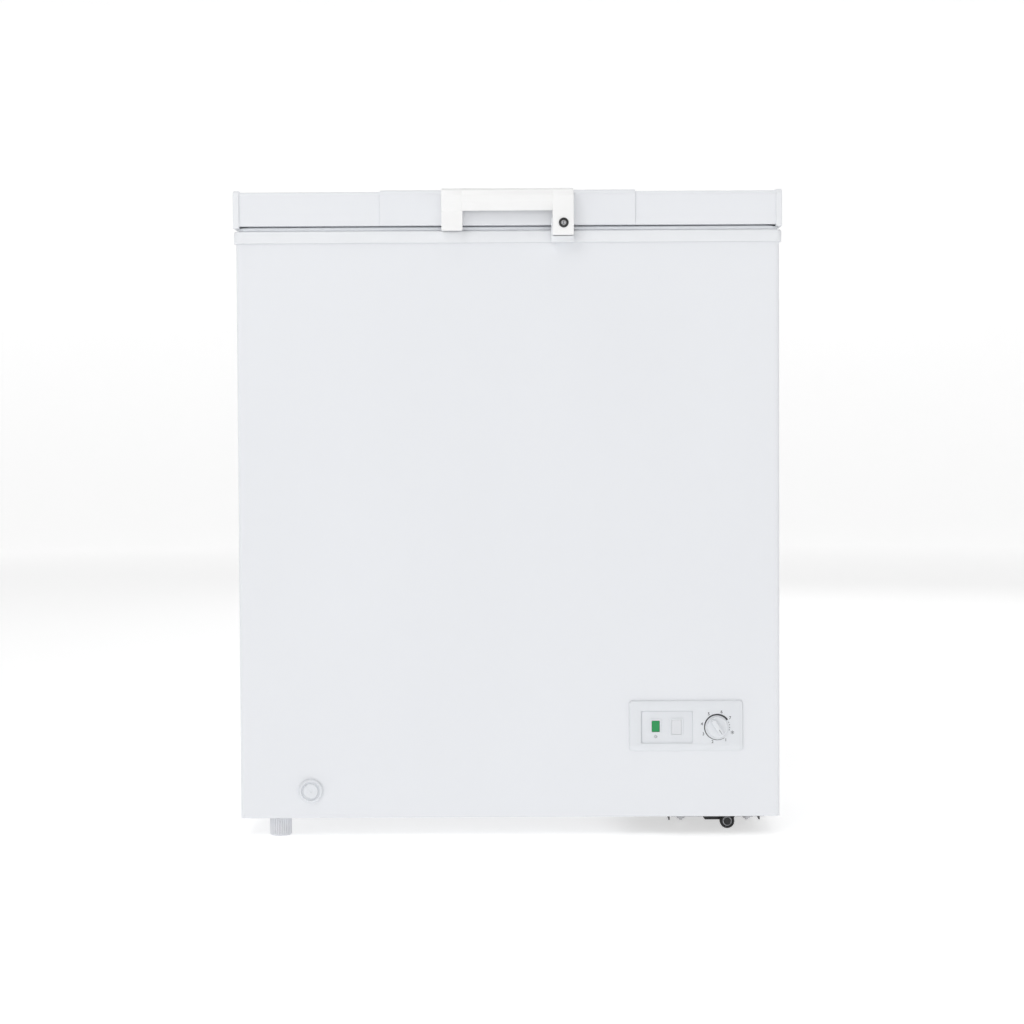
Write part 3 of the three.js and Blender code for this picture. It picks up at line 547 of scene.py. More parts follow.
def filleted(corners: Sequence[tuple[float, float, float]], steps: int = 5) -> Array:
    """A closed outline whose corners are each rounded by an arc that touches both sides.

    Args:
        corners: (x, y, radius) of each corner.
        steps: The points on each arc.

    Returns:
        The outline: (corners * steps, 2).
    """
    points = np.array([c[:2] for c in corners], float)
    radii = np.array([c[2] for c in corners], float)[:, None]
    before = np.roll(points, 1, 0) - points
    after = np.roll(points, -1, 0) - points
    before /= np.linalg.norm(before, axis=1, keepdims=True)
    after /= np.linalg.norm(after, axis=1, keepdims=True)
    half = np.arccos(np.clip((before * after).sum(1, keepdims=True), -1, 1)) / 2
    middle = before + after
    middle /= np.linalg.norm(middle, axis=1, keepdims=True) + 1e-12
    centre = points + middle * radii / np.sin(half)
    first = points + before * radii / np.tan(half) - centre
    last = points + after * radii / np.tan(half) - centre
    span = math.pi - 2 * half
    t = np.linspace(0, 1, steps)[None, :, None]
    swing = np.sin(span)[:, None]
    swing = np.where(swing < 1e-9, 1.0, swing)
    arc = (np.sin((1 - t) * span[:, None]) * first[:, None]
           + np.sin(t * span[:, None]) * last[:, None]) / swing
    return (centre[:, None] + arc).reshape(-1, 2)


def on_axis(outline: Array, places: Sequence[float], axis: str) -> Array:
    """Copies of a flat outline at places along an axis.

    The outline's two coordinates are (y, z) for axis X, (x, z) for Y and (x, y) for Z. An outline may
    also be given for each place, as (places, points, 2).
    """
    flat = np.broadcast_to(outline, (len(places), *outline.shape[-2:]))
    level = np.broadcast_to(np.array(places, float)[:, None], flat.shape[:2])
    a, b = flat[..., 0], flat[..., 1]
    order = {"X": (level, a, b), "Y": (a, level, b), "Z": (a, b, level)}[axis]
    return np.stack(order, -1)


def lathe(profile: Array, centre: Sequence[float], axis: str, segments: int = 48) -> Array:
    """Turns a profile about an axis.

    Args:
        profile: Points of (radius, distance along the axis).
        centre: The point that the distances are from.
        axis: X, Y or Z.
        segments: The points round each ring.

    Returns:
        Rings: (profile, segments, 3).
    """
    turn = np.linspace(0, TAU, segments, endpoint=False)
    radius = np.maximum(profile[:, 0], 1e-7)[:, None]
    outline = np.stack([radius * np.cos(turn), radius * np.sin(turn)], -1)
    rings = on_axis(outline, profile[:, 1], axis)
    return rings + np.array(centre)


def rounded_profile(corners: Sequence[tuple[float, float, float]], steps: int = 5) -> Array:
    """An open profile of (radius, distance) whose inner corners are rounded: the ends stay as given."""
    ends = [(corners[0][0] - 1e-3, corners[0][1], 0.0), (corners[-1][0] - 1e-3, corners[-1][1], 0.0)]
    whole = filleted([ends[0], *corners, ends[1]], steps)
    return whole[steps:-steps]


def frames_along(path: Array, closed: bool) -> tuple[Array, Array]:
    """Two unit vectors across a path at each point, turned as little as possible along it."""
    if closed:
        along = np.roll(path, -1, 0) - np.roll(path, 1, 0)
    else:
        along = np.gradient(path, axis=0)
    along /= np.linalg.norm(along, axis=1, keepdims=True)
    helper = np.eye(3)[np.argmin(np.abs(along[0]))]
    side = np.cross(along[0], helper)
    sides = [side / np.linalg.norm(side)]
    for direction in along[1:]:
        side = sides[-1] - direction * np.dot(sides[-1], direction)
        sides.append(side / np.linalg.norm(side))
    across = np.array(sides)
    return across, np.cross(along, across)


def tube(path: Array, radius: float, sides: int = 12, closed: bool = False) -> Array:
    """A round tube along a path: each ring is a circle in the plane across the path there.

    Args:
        path: Points (n, 3).
        radius: The tube's radius.
        sides: The points round each ring.
        closed: Whether the path's end meets its start.

    Returns:
        Rings: (n, sides, 3).
    """
    across, up = frames_along(path, closed)
    turn = np.linspace(0, TAU, sides, endpoint=False)[None, :, None]
    return path[:, None] + radius * (np.cos(turn) * across[:, None] + np.sin(turn) * up[:, None])


def flowing(points: Sequence[Sequence[float]], per_span: int = 8) -> Array:
    """A Catmull-Rom curve through points: each span is a cubic with slopes set by its neighbours."""
    p = np.array(points, float)
    p = np.concatenate([[2 * p[0] - p[1]], p, [2 * p[-1] - p[-2]]])
    t = np.linspace(0, 1, per_span, endpoint=False)[None, :, None]
    a, b, c, d = (p[i:len(p) - 3 + i][:, None] for i in range(4))
    curve = 0.5 * (2 * b + (c - a) * t + (2 * a - 5 * b + 4 * c - d) * t**2 + (3 * b - a - 3 * c + d) * t**3)
    return np.concatenate([curve.reshape(-1, 3), p[-2:-1]])


def plate(outline: Callable[[float], Array], low: float, high: float, edge: float, axis: str,
          steps: int = 4) -> Array:
    """A flat plate whose rim is rounded: rings shrink by edge * (1 - sin) as they reach either face.

    Args:
        outline: Gives the plate's outline, pulled in by a distance.
        low: Where the plate starts on the axis.
        high: Where it ends.
        edge: The radius of its rim.
        axis: X, Y or Z.
        steps: The rings round each edge.

    Returns:
        Rings: (2 * steps, points, 3).
    """
    angle = np.linspace(0, math.pi / 2, steps)
    shrink = edge * (1 - np.sin(angle))
    rise = edge * (1 - np.cos(angle))
    insets = np.concatenate([shrink, shrink[::-1]])
    places = np.concatenate([low + rise, high - rise[::-1]])
    return on_axis(np.array([outline(i) for i in insets]), places, axis)


# ---------------------------------------------------------------- CAD nodes that keep their shape
def smoothing_group() -> bpy.types.NodeTree:
    """A modifier's node tree that shades every face smooth."""
    name = "shade_smooth"
    if name in bpy.data.node_groups:
        return bpy.data.node_groups[name]
    tree = bpy.data.node_groups.new(name, "GeometryNodeTree")
    tree.interface.new_socket("Geometry", in_out="INPUT", socket_type="NodeSocketGeometry")
    tree.interface.new_socket("Geometry", in_out="OUTPUT", socket_type="NodeSocketGeometry")
    start, end = tree.nodes.new("NodeGroupInput"), tree.nodes.new("NodeGroupOutput")
    shading = tree.nodes.new("GeometryNodeSetShadeSmooth")
    tree.links.new(start.outputs[0], shading.inputs[0])
    tree.links.new(shading.outputs[0], end.inputs[0])
    return tree


def soften(node: str, finish: Finish, edge: float = 0.0004, segments: int = 2) -> bpy.types.Object:
    """Dresses a CAD node that is shown as it is, with its edges broken by a small round.

    Args:
        node: The CAD node's name.
        finish: What it is finished with.
        edge: The width of the round in metres, or 0 for none.
        segments: The number of faces across the round.

    Returns:
        The node's object.
    """
    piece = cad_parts[node]
    weld = piece.modifiers.new("weld", "WELD")
    weld.merge_threshold = 1e-6
    flat = piece.modifiers.new("flat_faces", "DECIMATE")
    flat.decimate_type = "DISSOLVE"
    flat.angle_limit = math.radians(1.0)
    if edge:
        bevel = piece.modifiers.new("broken_edges", "BEVEL")
        bevel.width = edge
        bevel.segments = segments
        bevel.limit_method = "ANGLE"
        bevel.angle_limit = math.radians(32.0)
    shading = piece.modifiers.new("smooth", "NODES")
    shading.node_group = smoothing_group()
    weighted = piece.modifiers.new("flat_shading", "WEIGHTED_NORMAL")
    weighted.keep_sharp = False
    weighted.weight = 80
    piece.data.materials.clear()
    piece.data.materials.append(finish.material)
    finish.slot
    LOG.info("%s keeps its CAD shape", node)
    return piece


# ---------------------------------------------------------------- studio
@dataclass
class Studio:
    """A pale bowl of a floor and wall that glows a little, soft lights, and the camera."""

    lens: float = 80.3
    position: tuple[float, float, float] = (0.004, FRONT_OF_CASE - 3.0, 0.533)
    tilt: float = 88.0
    roll: float = -0.28
    floor_radius: float = 7.5
    floor_bend: float = 1.5
    wall_top: float = 3.6
    floor_glow: float = 0.6

    def build(self) -> None:
        """Makes everything that isn't part of the freezer."""
        self._camera()
        self._floor()
        self._lights()
        bpy.context.scene.view_settings.view_transform = "Standard"

    def _camera(self) -> None:
        """Puts the camera in front, level with the upper half and tilted down a little."""
        data = bpy.data.cameras.new("camera")
        data.lens = self.lens
        camera = bpy.data.objects.new("camera", data)
        bpy.context.scene.collection.objects.link(camera)
        turned = (Matrix.Rotation(math.radians(self.tilt), 4, "X")
                  @ Matrix.Rotation(math.radians(self.roll), 4, "Z"))
        camera.matrix_world = Matrix.Translation(self.position) @ turned
        bpy.context.scene.camera = camera

    def _floor(self) -> None:
        """Turns a bowl: a flat floor that curves up into a wall all round."""
        reach, bend, top = self.floor_radius, self.floor_bend, self.wall_top
        angle = np.linspace(-math.pi / 2, 0, 16)
        curve = np.stack([reach + bend * np.cos(angle), bend + bend * np.sin(angle)], -1)
        profile = np.concatenate([[[0.0, 0.0]], curve, [[reach + bend, top]]])
        rings = lathe(profile, (0.0, 0.0, 0.0), "Z", 72)
        mesh = bpy.data.meshes.new("floor")
        mesh.from_pydata(rings.reshape(-1, 3).tolist(), [],
                         grid_faces(len(profile), 72, False, True).tolist())
        recalculate_normals(mesh)
        mesh.flip_normals()
        mesh.shade_smooth()
        floor = bpy.data.objects.new("floor", mesh)
        bpy.context.scene.collection.objects.link(floor)
        paint = Paint("studio_white")
        grain = paint.noise(0.4, 2.0)
        tone = paint.blend(grain, (0.62, 0.62, 0.62), (0.64, 0.64, 0.64))
        glow = {"Emission_Color": (1.0, 1.0, 1.0, 1.0), "Emission_Strength": self.floor_glow}
        mesh.materials.append(paint.surface(Base_Color=tone, Roughness=0.9, Specular_IOR_Level=0.1, **glow))

    def _lights(self) -> None:
        """A white world, a smaller key lamp up on the left, and wide lamps all round."""
        world = bpy.data.worlds.new("studio")
        world.use_nodes = True
        world.node_tree.nodes["Background"].inputs[0].default_value = (1.0, 1.0, 1.0, 1.0)
        world.node_tree.nodes["Background"].inputs[1].default_value = 0.22
        bpy.context.scene.world = world
        self._lamp("overhead", (0.0, -0.2, 3.4), (0.0, 0.2, 0.4), 3.2, 36.0)
        self._lamp("key", (-1.4, -3.0, 3.2), (0.0, 0.0, 0.5), 1.6, 30.0)
        self._lamp("left", (-3.2, -2.6, 2.2), (0.0, 0.0, 0.5), 2.4, 5.0)
        self._lamp("front", (1.6, -4.6, 1.8), (0.0, 0.0, 0.5), 2.6, 8.0)
        self._lamp("back", (1.0, 3.6, 2.4), (0.0, 0.0, 0.5), 2.4, 24.0)

    @staticmethod
    def _lamp(name: str, place: Sequence[float], target: Sequence[float], size: float, power: float) -> None:
        """A square area lamp that looks at a target."""
        data = bpy.data.lights.new(name, "AREA")
        data.size = size
        data.energy = power
        lamp = bpy.data.objects.new(name, data)
        bpy.context.scene.collection.objects.link(lamp)
        lamp.location = place
        lamp.rotation_euler = (Vector(target) - Vector(place)).to_track_quat("-Z", "Y").to_euler()


# ---------------------------------------------------------------- the freezer
def box_mm(node: str) -> Array:
    """The lowest and highest corner of a CAD node, in millimetres: (2, 3)."""
    return np.array([list(corner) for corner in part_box(node)]) / MM


def middle_mm(node: str) -> Array:
    """The middle of a CAD node's box, in millimetres."""
    return box_mm(node).mean(0)


@dataclass
class Footprint:
    """The rounded rectangle of the top frame and the lid, which every level is measured in from."""

    insets: tuple[float, ...] = (0.0, 2.5, 50.0, 53.0, 65.0, 67.0, 78.0, 100.0)
    radii: tuple[float, ...] = (9.0, 6.5, 33.0, 30.0, 25.0, 23.0, 20.0, 12.0)
    steps: int = 8

    def rings(self, profile: Array) -> Array:
        """One ring for each (inset, height) of a profile, whose corner radius follows the inset."""
        low, high = box_mm("top_frame")
        radii = np.interp(profile[:, 0], self.insets, self.radii)
        outlines = [
            rounded_rectangle(low[:2] + inset, high[:2] - inset, radius, self.steps)
            for inset, radius in zip(profile[:, 0], radii)
        ]
        return on_axis(np.array(outlines), profile[:, 1], "Z")


@dataclass
class TopFrame:
    """The vinyl frame round the opening: skirt, deck, step and the ledge that holds the basket."""

    footprint: Footprint = field(default_factory=Footprint)
    profile: tuple[tuple[float, float, float], ...] = (
        (0, 781, 0.7), (0, 797, 3.0), (53, 797, 2.0), (53, 788.5, 1.5), (67, 788.5, 1.5), (67, 778, 0.5),
        (65.3, 778, 0.5), (65.3, 786.5, 0.2), (50, 786.5, 0.2), (50, 794, 0.2), (2.5, 794, 0.2),
        (2.5, 781, 0.7),
    )

    def build(self) -> None:
        """Sweeps the closed profile round the footprint."""
        rings = self.footprint.rings(filleted(self.profile))
        Surface().loft(rings, False, True).build(
            "top_frame_moulding", Finish.WHITE_PLASTIC, "cabinet", ["top_frame"])


@dataclass
class Lid:
    """The lid's skin, end trims, underside and gasket."""

    footprint: Footprint = field(default_factory=Footprint)
    front: float = -249.0
    back: float = 257.0
    low: float = 803.5
    top: float = 848.0
    sheet: float = 0.8
    hem: float = 12.0
    fold: float = 6.0
    skin_half: float = 356.7
    trim_half: float = 359.0
    trim_grip: float = 8.0
    trim_wall: float = 2.0
    gasket: tuple[tuple[float, float, float], ...] = (
        (6.0, 797.5, 0.9), (29.8, 797.3, 1.2), (29.8, 800.2, 0.8), (26.2, 801.2, 0.4), (27.8, 802.0, 0.4),
        (27.8, 803.4, 0.3), (12.5, 803.4, 0.3), (8.5, 802.2, 0.6), (6.0, 801.2, 0.6),
    )
    underside: tuple[tuple[float, float, float], ...] = (
        (104, 790.9, 0.0), (99, 790.9, 1.0), (96, 790.0, 1.5), (78, 790.0, 4.0), (76.5, 804.6, 3.0),
        (3.4, 804.6, 0.5), (3.4, 806.0, 0.5), (78.2, 806.0, 2.0), (79.6, 791.4, 2.5), (104, 791.4, 0.0),
    )

    def build(self) -> None:
        """Builds each piece of the lid."""
        self._skin()
        self._trims()
        rings = self.footprint.rings(filleted(self.gasket, 4))
        Surface().loft(rings, False, True).build("gasket_bellows", Finish.GASKET, "lid", ["lid_gasket"])
        rings = self.footprint.rings(filleted(self.underside, 5))
        Surface().loft(rings).build("lid_underside", Finish.WHITE_PLASTIC, "lid", ["lid_inner_liner"])

    def _skin(self) -> None:
        """A folded sheet: the outer line down, under and back along its inner side, drawn along X."""
        f, b, z0, z1, t, h = self.front, self.back, self.low, self.top, self.sheet, self.hem
        outer = [(f + h, z0, 0.2), (f, z0, 1.3), (f, z1, self.fold), (b, z1, self.fold), (b, z0, 1.3),
                 (b - h, z0, 0.2)]
        inner = [(b - h, z0 + t, 0.2), (b - t, z0 + t, 0.5), (b - t, z1 - t, self.fold - t),
                 (f + t, z1 - t, self.fold - t), (f + t, z0 + t, 0.5), (f + h, z0 + t, 0.2)]
        rings = on_axis(filleted(outer + inner, 7), [-self.skin_half, self.skin_half], "X")
        Surface().loft(rings).build("lid_skin", Finish.WHITE_STEEL, "lid", ["lid_outer_panel"])

    def _trims(self) -> None:
        """End channels: a pocket, a rim and a face whose edge is a quarter round."""
        wall, half = self.trim_wall, self.trim_half
        angle = np.linspace(0, math.pi / 2, 5)
        rounding = [(half - 1.5 * (1 - math.sin(a)), wall - 1.5 * (1 - math.cos(a)), 0.0) for a in angle]
        levels = [(half - wall, 0.3, 2.2), (half - self.trim_grip, 0.3, 2.2),
                  (half - self.trim_grip, wall - 0.5, 0.5), (half - self.trim_grip + 0.5, wall, 0.0),
                  *rounding]
        rings = np.array([self._trim_outline(outset, raised) for _, outset, raised in levels])
        for side, sign in (("right", 1), ("left", -1)):
            ends = on_axis(rings, [sign * level[0] for level in levels], "X")
            Surface().loft(ends).build(f"end_trim_{side}", Finish.WHITE_PLASTIC, "lid",
                                       [f"lid_end_trim_{side}"])

    def _trim_outline(self, outset: float, raised: float) -> Array:
        """The lid's end outline moved outwards, with its lower edge raised."""
        f, b, low, top = self.front - outset, self.back + outset, 801.0 + raised, self.top + outset
        radius = self.fold + outset
        return filleted([(f, low, 1.5), (f, top, radius), (b, top, radius), (b, low, 1.5)], 7)


@dataclass
class Liner:
    """The tub: straight walls, a step over the machine compartment, a floor, the drain's rim and a black
    disc of painted shade in its hole.
    """

    x: tuple[float, float] = (-294.0, 294.0)
    y: tuple[float, float] = (-184.0, 192.0)
    lip: float = 786.0
    step_left: float = 105.0
    step_top: float = 308.0
    floor: float = 86.0
    corner: float = 25.0
    fold: float = 9.0
    crease: float = 1.2
    sheet: float = 0.7

    def build(self) -> None:
        """Lofts the outside up from the floor and the inside back down, and closes both floors."""
        outside = self._rings(self.sheet)[::-1]
        rings = np.concatenate([outside, self._rings(0.0)])
        Surface().loft(rings).build("liner_tub", Finish.LINER, "cabinet", ["inner_liner"])
        low, high = box_mm("drain_stopper")
        centre = ((low[0] + high[0]) / 2, (low[1] + high[1]) / 2, self.floor)
        mouth = filleted([(5.0, 0.1, 0), (6.0, 0.1, 0), (6.0, 0.5, 0.2), (5.0, 0.5, 0.2)], 3)
        rim = lathe(mouth * np.array([1.6, 1.0]), centre, "Z", 40)
        Surface().loft(rim, False, True).build("drain_rim", Finish.HARDWARE, "cabinet")
        # a flat black disc in the drain's hole: painted shade of the hole
        dark = np.array([[0.0, 0.05], [8.4, 0.05], [8.4, 0.3], [0.0, 0.3]])
        Surface().loft(lathe(dark, centre, "Z", 40)).build("drain_hole_shade", Finish.BLACK_PLASTIC, "cabinet")

    def _rings(self, out: float) -> Array:
        """Rounded rectangles from the lip to the floor, each moved outwards by the sheet."""
        (x0, x1), (y0, y1), fold = self.x, self.y, self.fold
        angle = np.linspace(0, math.pi / 2, 6)
        levels = [(0.0, x1, self.lip), (0.0, x1, self.step_top + fold)]
        levels += [(0.0, x1 - fold * (1 - math.cos(a)),
                    self.step_top + fold * (1 - math.sin(a))) for a in angle[1:]]
        levels += [(0.0, self.step_left + self.crease * (1 - math.sin(a)),
                    self.step_top - self.crease * (1 - math.cos(a))) for a in angle]
        levels += [(fold * (1 - math.cos(a)), self.step_left - fold * (1 - math.cos(a)),
                    self.floor + fold * (1 - math.sin(a))) for a in angle]
        rings = []
        for inset, right, z in levels:
            narrow = np.interp(right, [self.step_left, x1], [6.0, self.corner])
            low, high = (x0 + inset - out, y0 + inset - out), (right + out, y1 - inset + out)
            drop = 0.0 if z == self.lip else out
            rings.append(on_axis(self._tub(low, high, narrow + out), [z - drop], "Z")[0])
        return np.array(rings)

    def _tub(self, low: Sequence[float], high: Sequence[float], right_radius: float) -> Array:
        """A rectangle whose two left corners keep the tub's radius and whose right ones have their own."""
        (x0, y0), (x1, y1), left = low, high, self.corner
        corners = [(x0, y0, left), (x1, y0, right_radius), (x1, y1, right_radius), (x0, y1, left)]
        return filleted(corners, 8)


@dataclass
class Handle:
    """The bar handle: a rolled grip between a plain leg and the leg that holds the lock."""

    half: float = 86.0
    opening: float = 58.7
    back: float = -251.3
    front: float = -275.0
    top: float = 850.0
    edge: float = 0.9

    def build(self) -> None:
        """Sweeps the grip and both legs along X, with rounded end edges."""
        grip = [(self.back, self.top, 0.5), (-266.0, self.top, 5.0), (-273.5, 846.8, 4.0),
                (self.front, 840.0, 5.0),
                (-273.6, 831.5, 9.0), (-266.0, 820.9, 0.8), (-262.2, 822.0, 0.8), (-270.2, 833.0, 6.0),
                (-270.8, 842.0, 3.0), (-264.0, 846.0, 3.0), (self.back, 846.0, 0.5)]
        handle = Surface()
        self._sweep(handle, grip, -self.opening - 1, self.opening + 1)
        self._sweep(handle, self._leg(796.0, -264.0), -self.half, -self.opening)
        self._sweep(handle, self._leg(789.0, -273.0), self.opening, self.half)
        handle.build("handle_moulding", Finish.HANDLE_PLASTIC, "lid", ["handle"])

    def _leg(self, bottom: float, face: float) -> list[tuple[float, float, float]]:
        """The outline of a leg, which narrows from the grip's nose to its own flat face."""
        return [(self.back, bottom, 0.5), (face, bottom, 1.5), (face, 820.5, 2.0),
                (min(face, -272.0) - 0.8, 832.0, 6.0),
                (self.front, 840.0, 5.0), (-273.5, 846.8, 4.0), (-266.0, self.top, 5.0),
                (self.back, self.top, 0.5)]

    def _sweep(self, handle: Surface, corners: Sequence[tuple[float, float, float]], low: float,
               high: float) -> None:
        """Adds a plate along X whose outline shrinks towards its middle as it reaches either end."""
        outline = filleted(corners, 6)
        middle = np.array([-263.0, 838.0])
        reach = np.linalg.norm(outline - middle, axis=1, keepdims=True)

        def shrunk(inset: float) -> Array:
            """The outline pulled in towards its middle."""
            return middle + (outline - middle) * (1 - inset / np.maximum(reach, 6.0))

        handle.loft(plate(shrunk, low, high, self.edge, "X"))


@dataclass
class Lock:
    """The key lock in the handle's right leg: a black collar round a metal barrel, whose keyway is painted
    shade.
    """

    collar: tuple[tuple[float, float, float], ...] = (
        (3.3, 9.0, 0.0), (6.4, 9.0, 0.3), (6.4, -1.4, 0.9), (3.3, -1.4, 0.5), (3.3, 8.0, 0.0))
    barrel: tuple[tuple[float, float, float], ...] = (
        (0.0, 14.0, 0.0), (2.8, 14.0, 0.3), (2.8, -0.9, 0.4), (0.0, -0.9, 0.0))
    keyway: tuple[float, float] = (0.45, 1.9)

    def build(self) -> None:
        """Turns the collar and the barrel about Y and sets the keyway in the barrel's face, a black plate as
        its painted shade.
        """
        low, high = box_mm("lock_cylinder")
        centre = ((low[0] + high[0]) / 2, low[1] + 1.4, (low[2] + high[2]) / 2)
        ring = lathe(filleted(self.collar, 4), centre, "Y", 40)
        Surface().loft(ring, False, True).build("lock_collar", Finish.BLACK_PLASTIC, "lock")
        core = lathe(rounded_profile(self.barrel, 4), centre, "Y", 40)
        Surface().loft(core).build("lock_barrel", Finish.LOCK_METAL, "lock", ["lock_cylinder"])
        across, up = self.keyway
        # a thin black plate in the barrel's face: painted shade of the keyway slot
        slot = plate(lambda i: rounded_rectangle((-across + i, -up + i), (across - i, up - i), 0.3),
                     -0.95, -0.6, 0.05, "Y")
        Surface().loft(slot + np.array(centre)).build("keyway", Finish.BLACK_PLASTIC, "lock")


@dataclass
class ControlPanel:
    """The panel low on the front: a bevelled face, a sunk field with two lenses, and the printed dial."""

    corner: float = 4.6
    bevel: float = 1.5
    lower_slope: float = 6.6
    field_low: tuple[float, float] = (172.7, 122.3)
    field_high: tuple[float, float] = (240.6, 165.2)
    field_depth: float = 2.0
    first_angle: float = 147.0
    last_angle: float = 415.0
    ring_radius: float = 17.4
    ring_widths: tuple[float, float] = (0.45, 2.5)
    digit_radius: float = 20.6
    digit_angles: tuple[float, ...] = (147.0, 198.0, 243.0, 281.0, 327.0, 376.0, 415.0)
    digit_size: float = 5.4
    digit_weight: float = 0.07
    boost_angle: float = 110.0

    def build(self) -> None:
        """Builds the bezel, the frames of the lenses, the print and the knob."""
        low, high = box_mm("control_panel_bezel")
        self.face = low[1]
        self.dial = middle_mm("thermostat_knob")
        self._bezel(low, high)
        for lens in ("running_lamp_lens", "power_lamp_lens"):
            self._lens_frame(lens)
        # a black ring round the green lens paints the shadow of its gap
        self._lens_seat("running_lamp_lens")
        self._lamp_mark("running_lamp_lens")
        self._ring()
        self._digits()
        self._boost_mark()
        self._knob()

    def _bezel(self, low: Array, high: Array) -> None:
        """Rings from the back edge over the sloped rim to the face, then down into the field."""
        def outline(inset: float, below: float) -> Array:
            """The bezel's rim, pulled in, and further from below."""
            corner = (low[0] + inset, low[2] + below)
            return rounded_rectangle(corner, (high[0] - inset, high[2] - inset), self.corner - inset)

        def hollow(groove: float, rest: float) -> Array:
            """The sunk field's rim, pulled in by the groove above and at the left."""
            (x0, z0), (x1, z1) = self.field_low, self.field_high
            return rounded_rectangle((x0 + groove, z0 + rest), (x1 - rest, z1 - groove), 1.4)

        face, bevel, slope = self.face, self.bevel, self.lower_slope
        levels = [(outline(0, 0), face + 2.7), (outline(0, 0), face + 1.9), (outline(0.2, 0.2), face + 1.6),
                  (outline(bevel - 0.3, slope - 0.7), face + 0.12), (outline(bevel, slope), face),
                  (hollow(-0.2, -0.2), face), (hollow(-0.05, -0.05), face + 0.1), (hollow(0, 0), face + 0.3),
                  (hollow(0, 0), face + 2.85), (hollow(0.9, 0.05), face + 2.85),
                  (hollow(0.9, 0.05), face + self.field_depth)]
        rings = on_axis(np.array([ring for ring, _ in levels]), [place for _, place in levels], "Y")
        Surface().loft(rings).build("panel_bezel", Finish.PANEL_PLASTIC, "cabinet",
                                    ["control_panel_bezel"], 50)

    def _lens_frame(self, lens: str) -> None:
        """A raised rim round a lens: a square ring with rounded edges."""
        low, high = box_mm(lens)
        floor, proud = self.face + self.field_depth, 1.3
        rings = []
        for out, rise in ((2.4, 0.0), (2.4, proud - 0.3), (2.1, proud), (0.6, proud), (0.2, proud - 0.3),
                          (0.2, 0.0)):
            flat = rounded_rectangle((low[0] - out, low[2] - out), (high[0] + out, high[2] + out),
                                     0.8 + out * 0.4)
            rings.append(on_axis(flat, [floor - rise], "Y")[0])
        Surface().loft(np.array(rings), False, True).build(f"{lens}_frame", Finish.PANEL_PLASTIC, "cabinet")

    def _lens_seat(self, lens: str) -> None:
        """A black ring round a coloured lens: painted shadow in the gap round it."""
        low, high = box_mm(lens)
        rings = []
        for out, rise in ((1.0, 0.0), (1.0, 1.1), (0.05, 1.1), (0.05, 0.0)):
            flat = rounded_rectangle((low[0] - out, low[2] - out), (high[0] + out, high[2] + out),
                                     0.4 + out * 0.5)
            rings.append(on_axis(flat, [self.face + self.field_depth - rise], "Y")[0])
        # black ring: painted shadow of the gap round the lens
        Surface().loft(np.array(rings), False, True).build(f"{lens}_seat", Finish.BLACK_PLASTIC, "cabinet")

    def _lamp_mark(self, lens: str) -> None:
        """A small printed lamp below a lens: a ring with eight rays."""
        low, high = box_mm(lens)
        centre = np.array([(low[0] + high[0]) / 2, self.face + self.field_depth, low[2] - 6.4])
        ring = np.array([[1.25, 0.0], [1.25, -0.06], [0.85, -0.06], [0.85, 0.0]])
        mark = Surface().loft(lathe(ring, centre, "Y", 24), False, True)
        for ray in range(8):
            turned = math.radians(45 * ray)
            along = np.array([math.sin(turned), math.cos(turned)])
            self._bar(mark, centre, along * 1.65, along * 2.5, 0.17)
        mark.build(f"{lens}_mark", Finish.PRINT, "cabinet")

    def _around(self, angle: Array, radius: Array, lift: float) -> Array:
        """Points round the dial at angles clockwise from the top, a lift in front of the face."""
        turned = np.radians(angle)
        x = self.dial[0] + radius * np.sin(turned)
        z = self.dial[2] + radius * np.cos(turned)
        return np.stack([x, np.full_like(x, self.face - lift), z], -1)

    def _ring(self) -> None:
        """A printed crescent whose width grows steadily with the angle, and four dots after it."""
        angle = np.linspace(self.first_angle, self.last_angle, 90)
        width = np.linspace(*self.ring_widths, 90)
        outer, inner = np.full(90, self.ring_radius), self.ring_radius - width
        corners = [self._around(angle, r, lift)
                   for r, lift in ((outer, 0), (outer, 0.06), (inner, 0.06), (inner, 0))]
        mark = Surface().loft(np.stack(corners, 1))
        for i in range(4):
            place = self._around(np.array([428.0 + 12.0 * i]), np.array([16.4]), 0.06)[0]
            mark.loft(lathe(np.array([[0.0, 0.06], [0.55, 0.06], [0.55, 0.0], [0.0, 0.0]]), place, "Y", 14))
        mark.build("dial_print", Finish.PRINT, "cabinet")

    def _digits(self) -> None:
        """The numbers 1 to 7, upright round the dial."""
        for number, angle in enumerate(self.digit_angles, 1):
            curve = bpy.data.curves.new(f"digit_{number}", "FONT")
            curve.body = str(number)
            curve.size = self.digit_size * MM
            curve.align_x, curve.align_y = "CENTER", "CENTER"
            curve.extrude = 0.03 * MM
            curve.offset = self.digit_weight * MM
            text = bpy.data.objects.new(f"digit_{number}_text", curve)
            bpy.context.scene.collection.objects.link(text)
            bpy.context.view_layer.update()
            mesh = bpy.data.meshes.new_from_object(text)
            bpy.data.objects.remove(text)
            place = self._around(np.array([angle]), np.array([self.digit_radius]), 0.03)[0] * MM
            mesh.transform(Matrix.Translation(place.tolist()) @ Matrix.Rotation(math.pi / 2, 4, "X"))
            piece = bpy.data.objects.new(f"digit_{number}", mesh)
            bpy.context.scene.collection.objects.link(piece)
            register(piece, Finish.PRINT, "cabinet")

    def _boost_mark(self) -> None:
        """A six-armed frost mark: three crossed bars with a pair of short barbs on each arm."""
        mark = Surface()
        centre = self._around(np.array([self.boost_angle]), np.array([self.digit_radius + 0.6]), 0.0)[0]
        for arm in range(6):
            turned = math.radians(60 * arm)
            along = np.array([math.sin(turned), math.cos(turned)])
            self._bar(mark, centre, (0.0, 0.0), along * 2.5, 0.17)
            for lean in (-1, 1):
                barb = math.radians(60 * arm + 50 * lean)
                tip = along * 1.4 + np.array([math.sin(barb), math.cos(barb)]) * 0.9
                self._bar(mark, centre, along * 1.4, tip, 0.12)
        mark.build("frost_mark", Finish.PRINT, "cabinet")

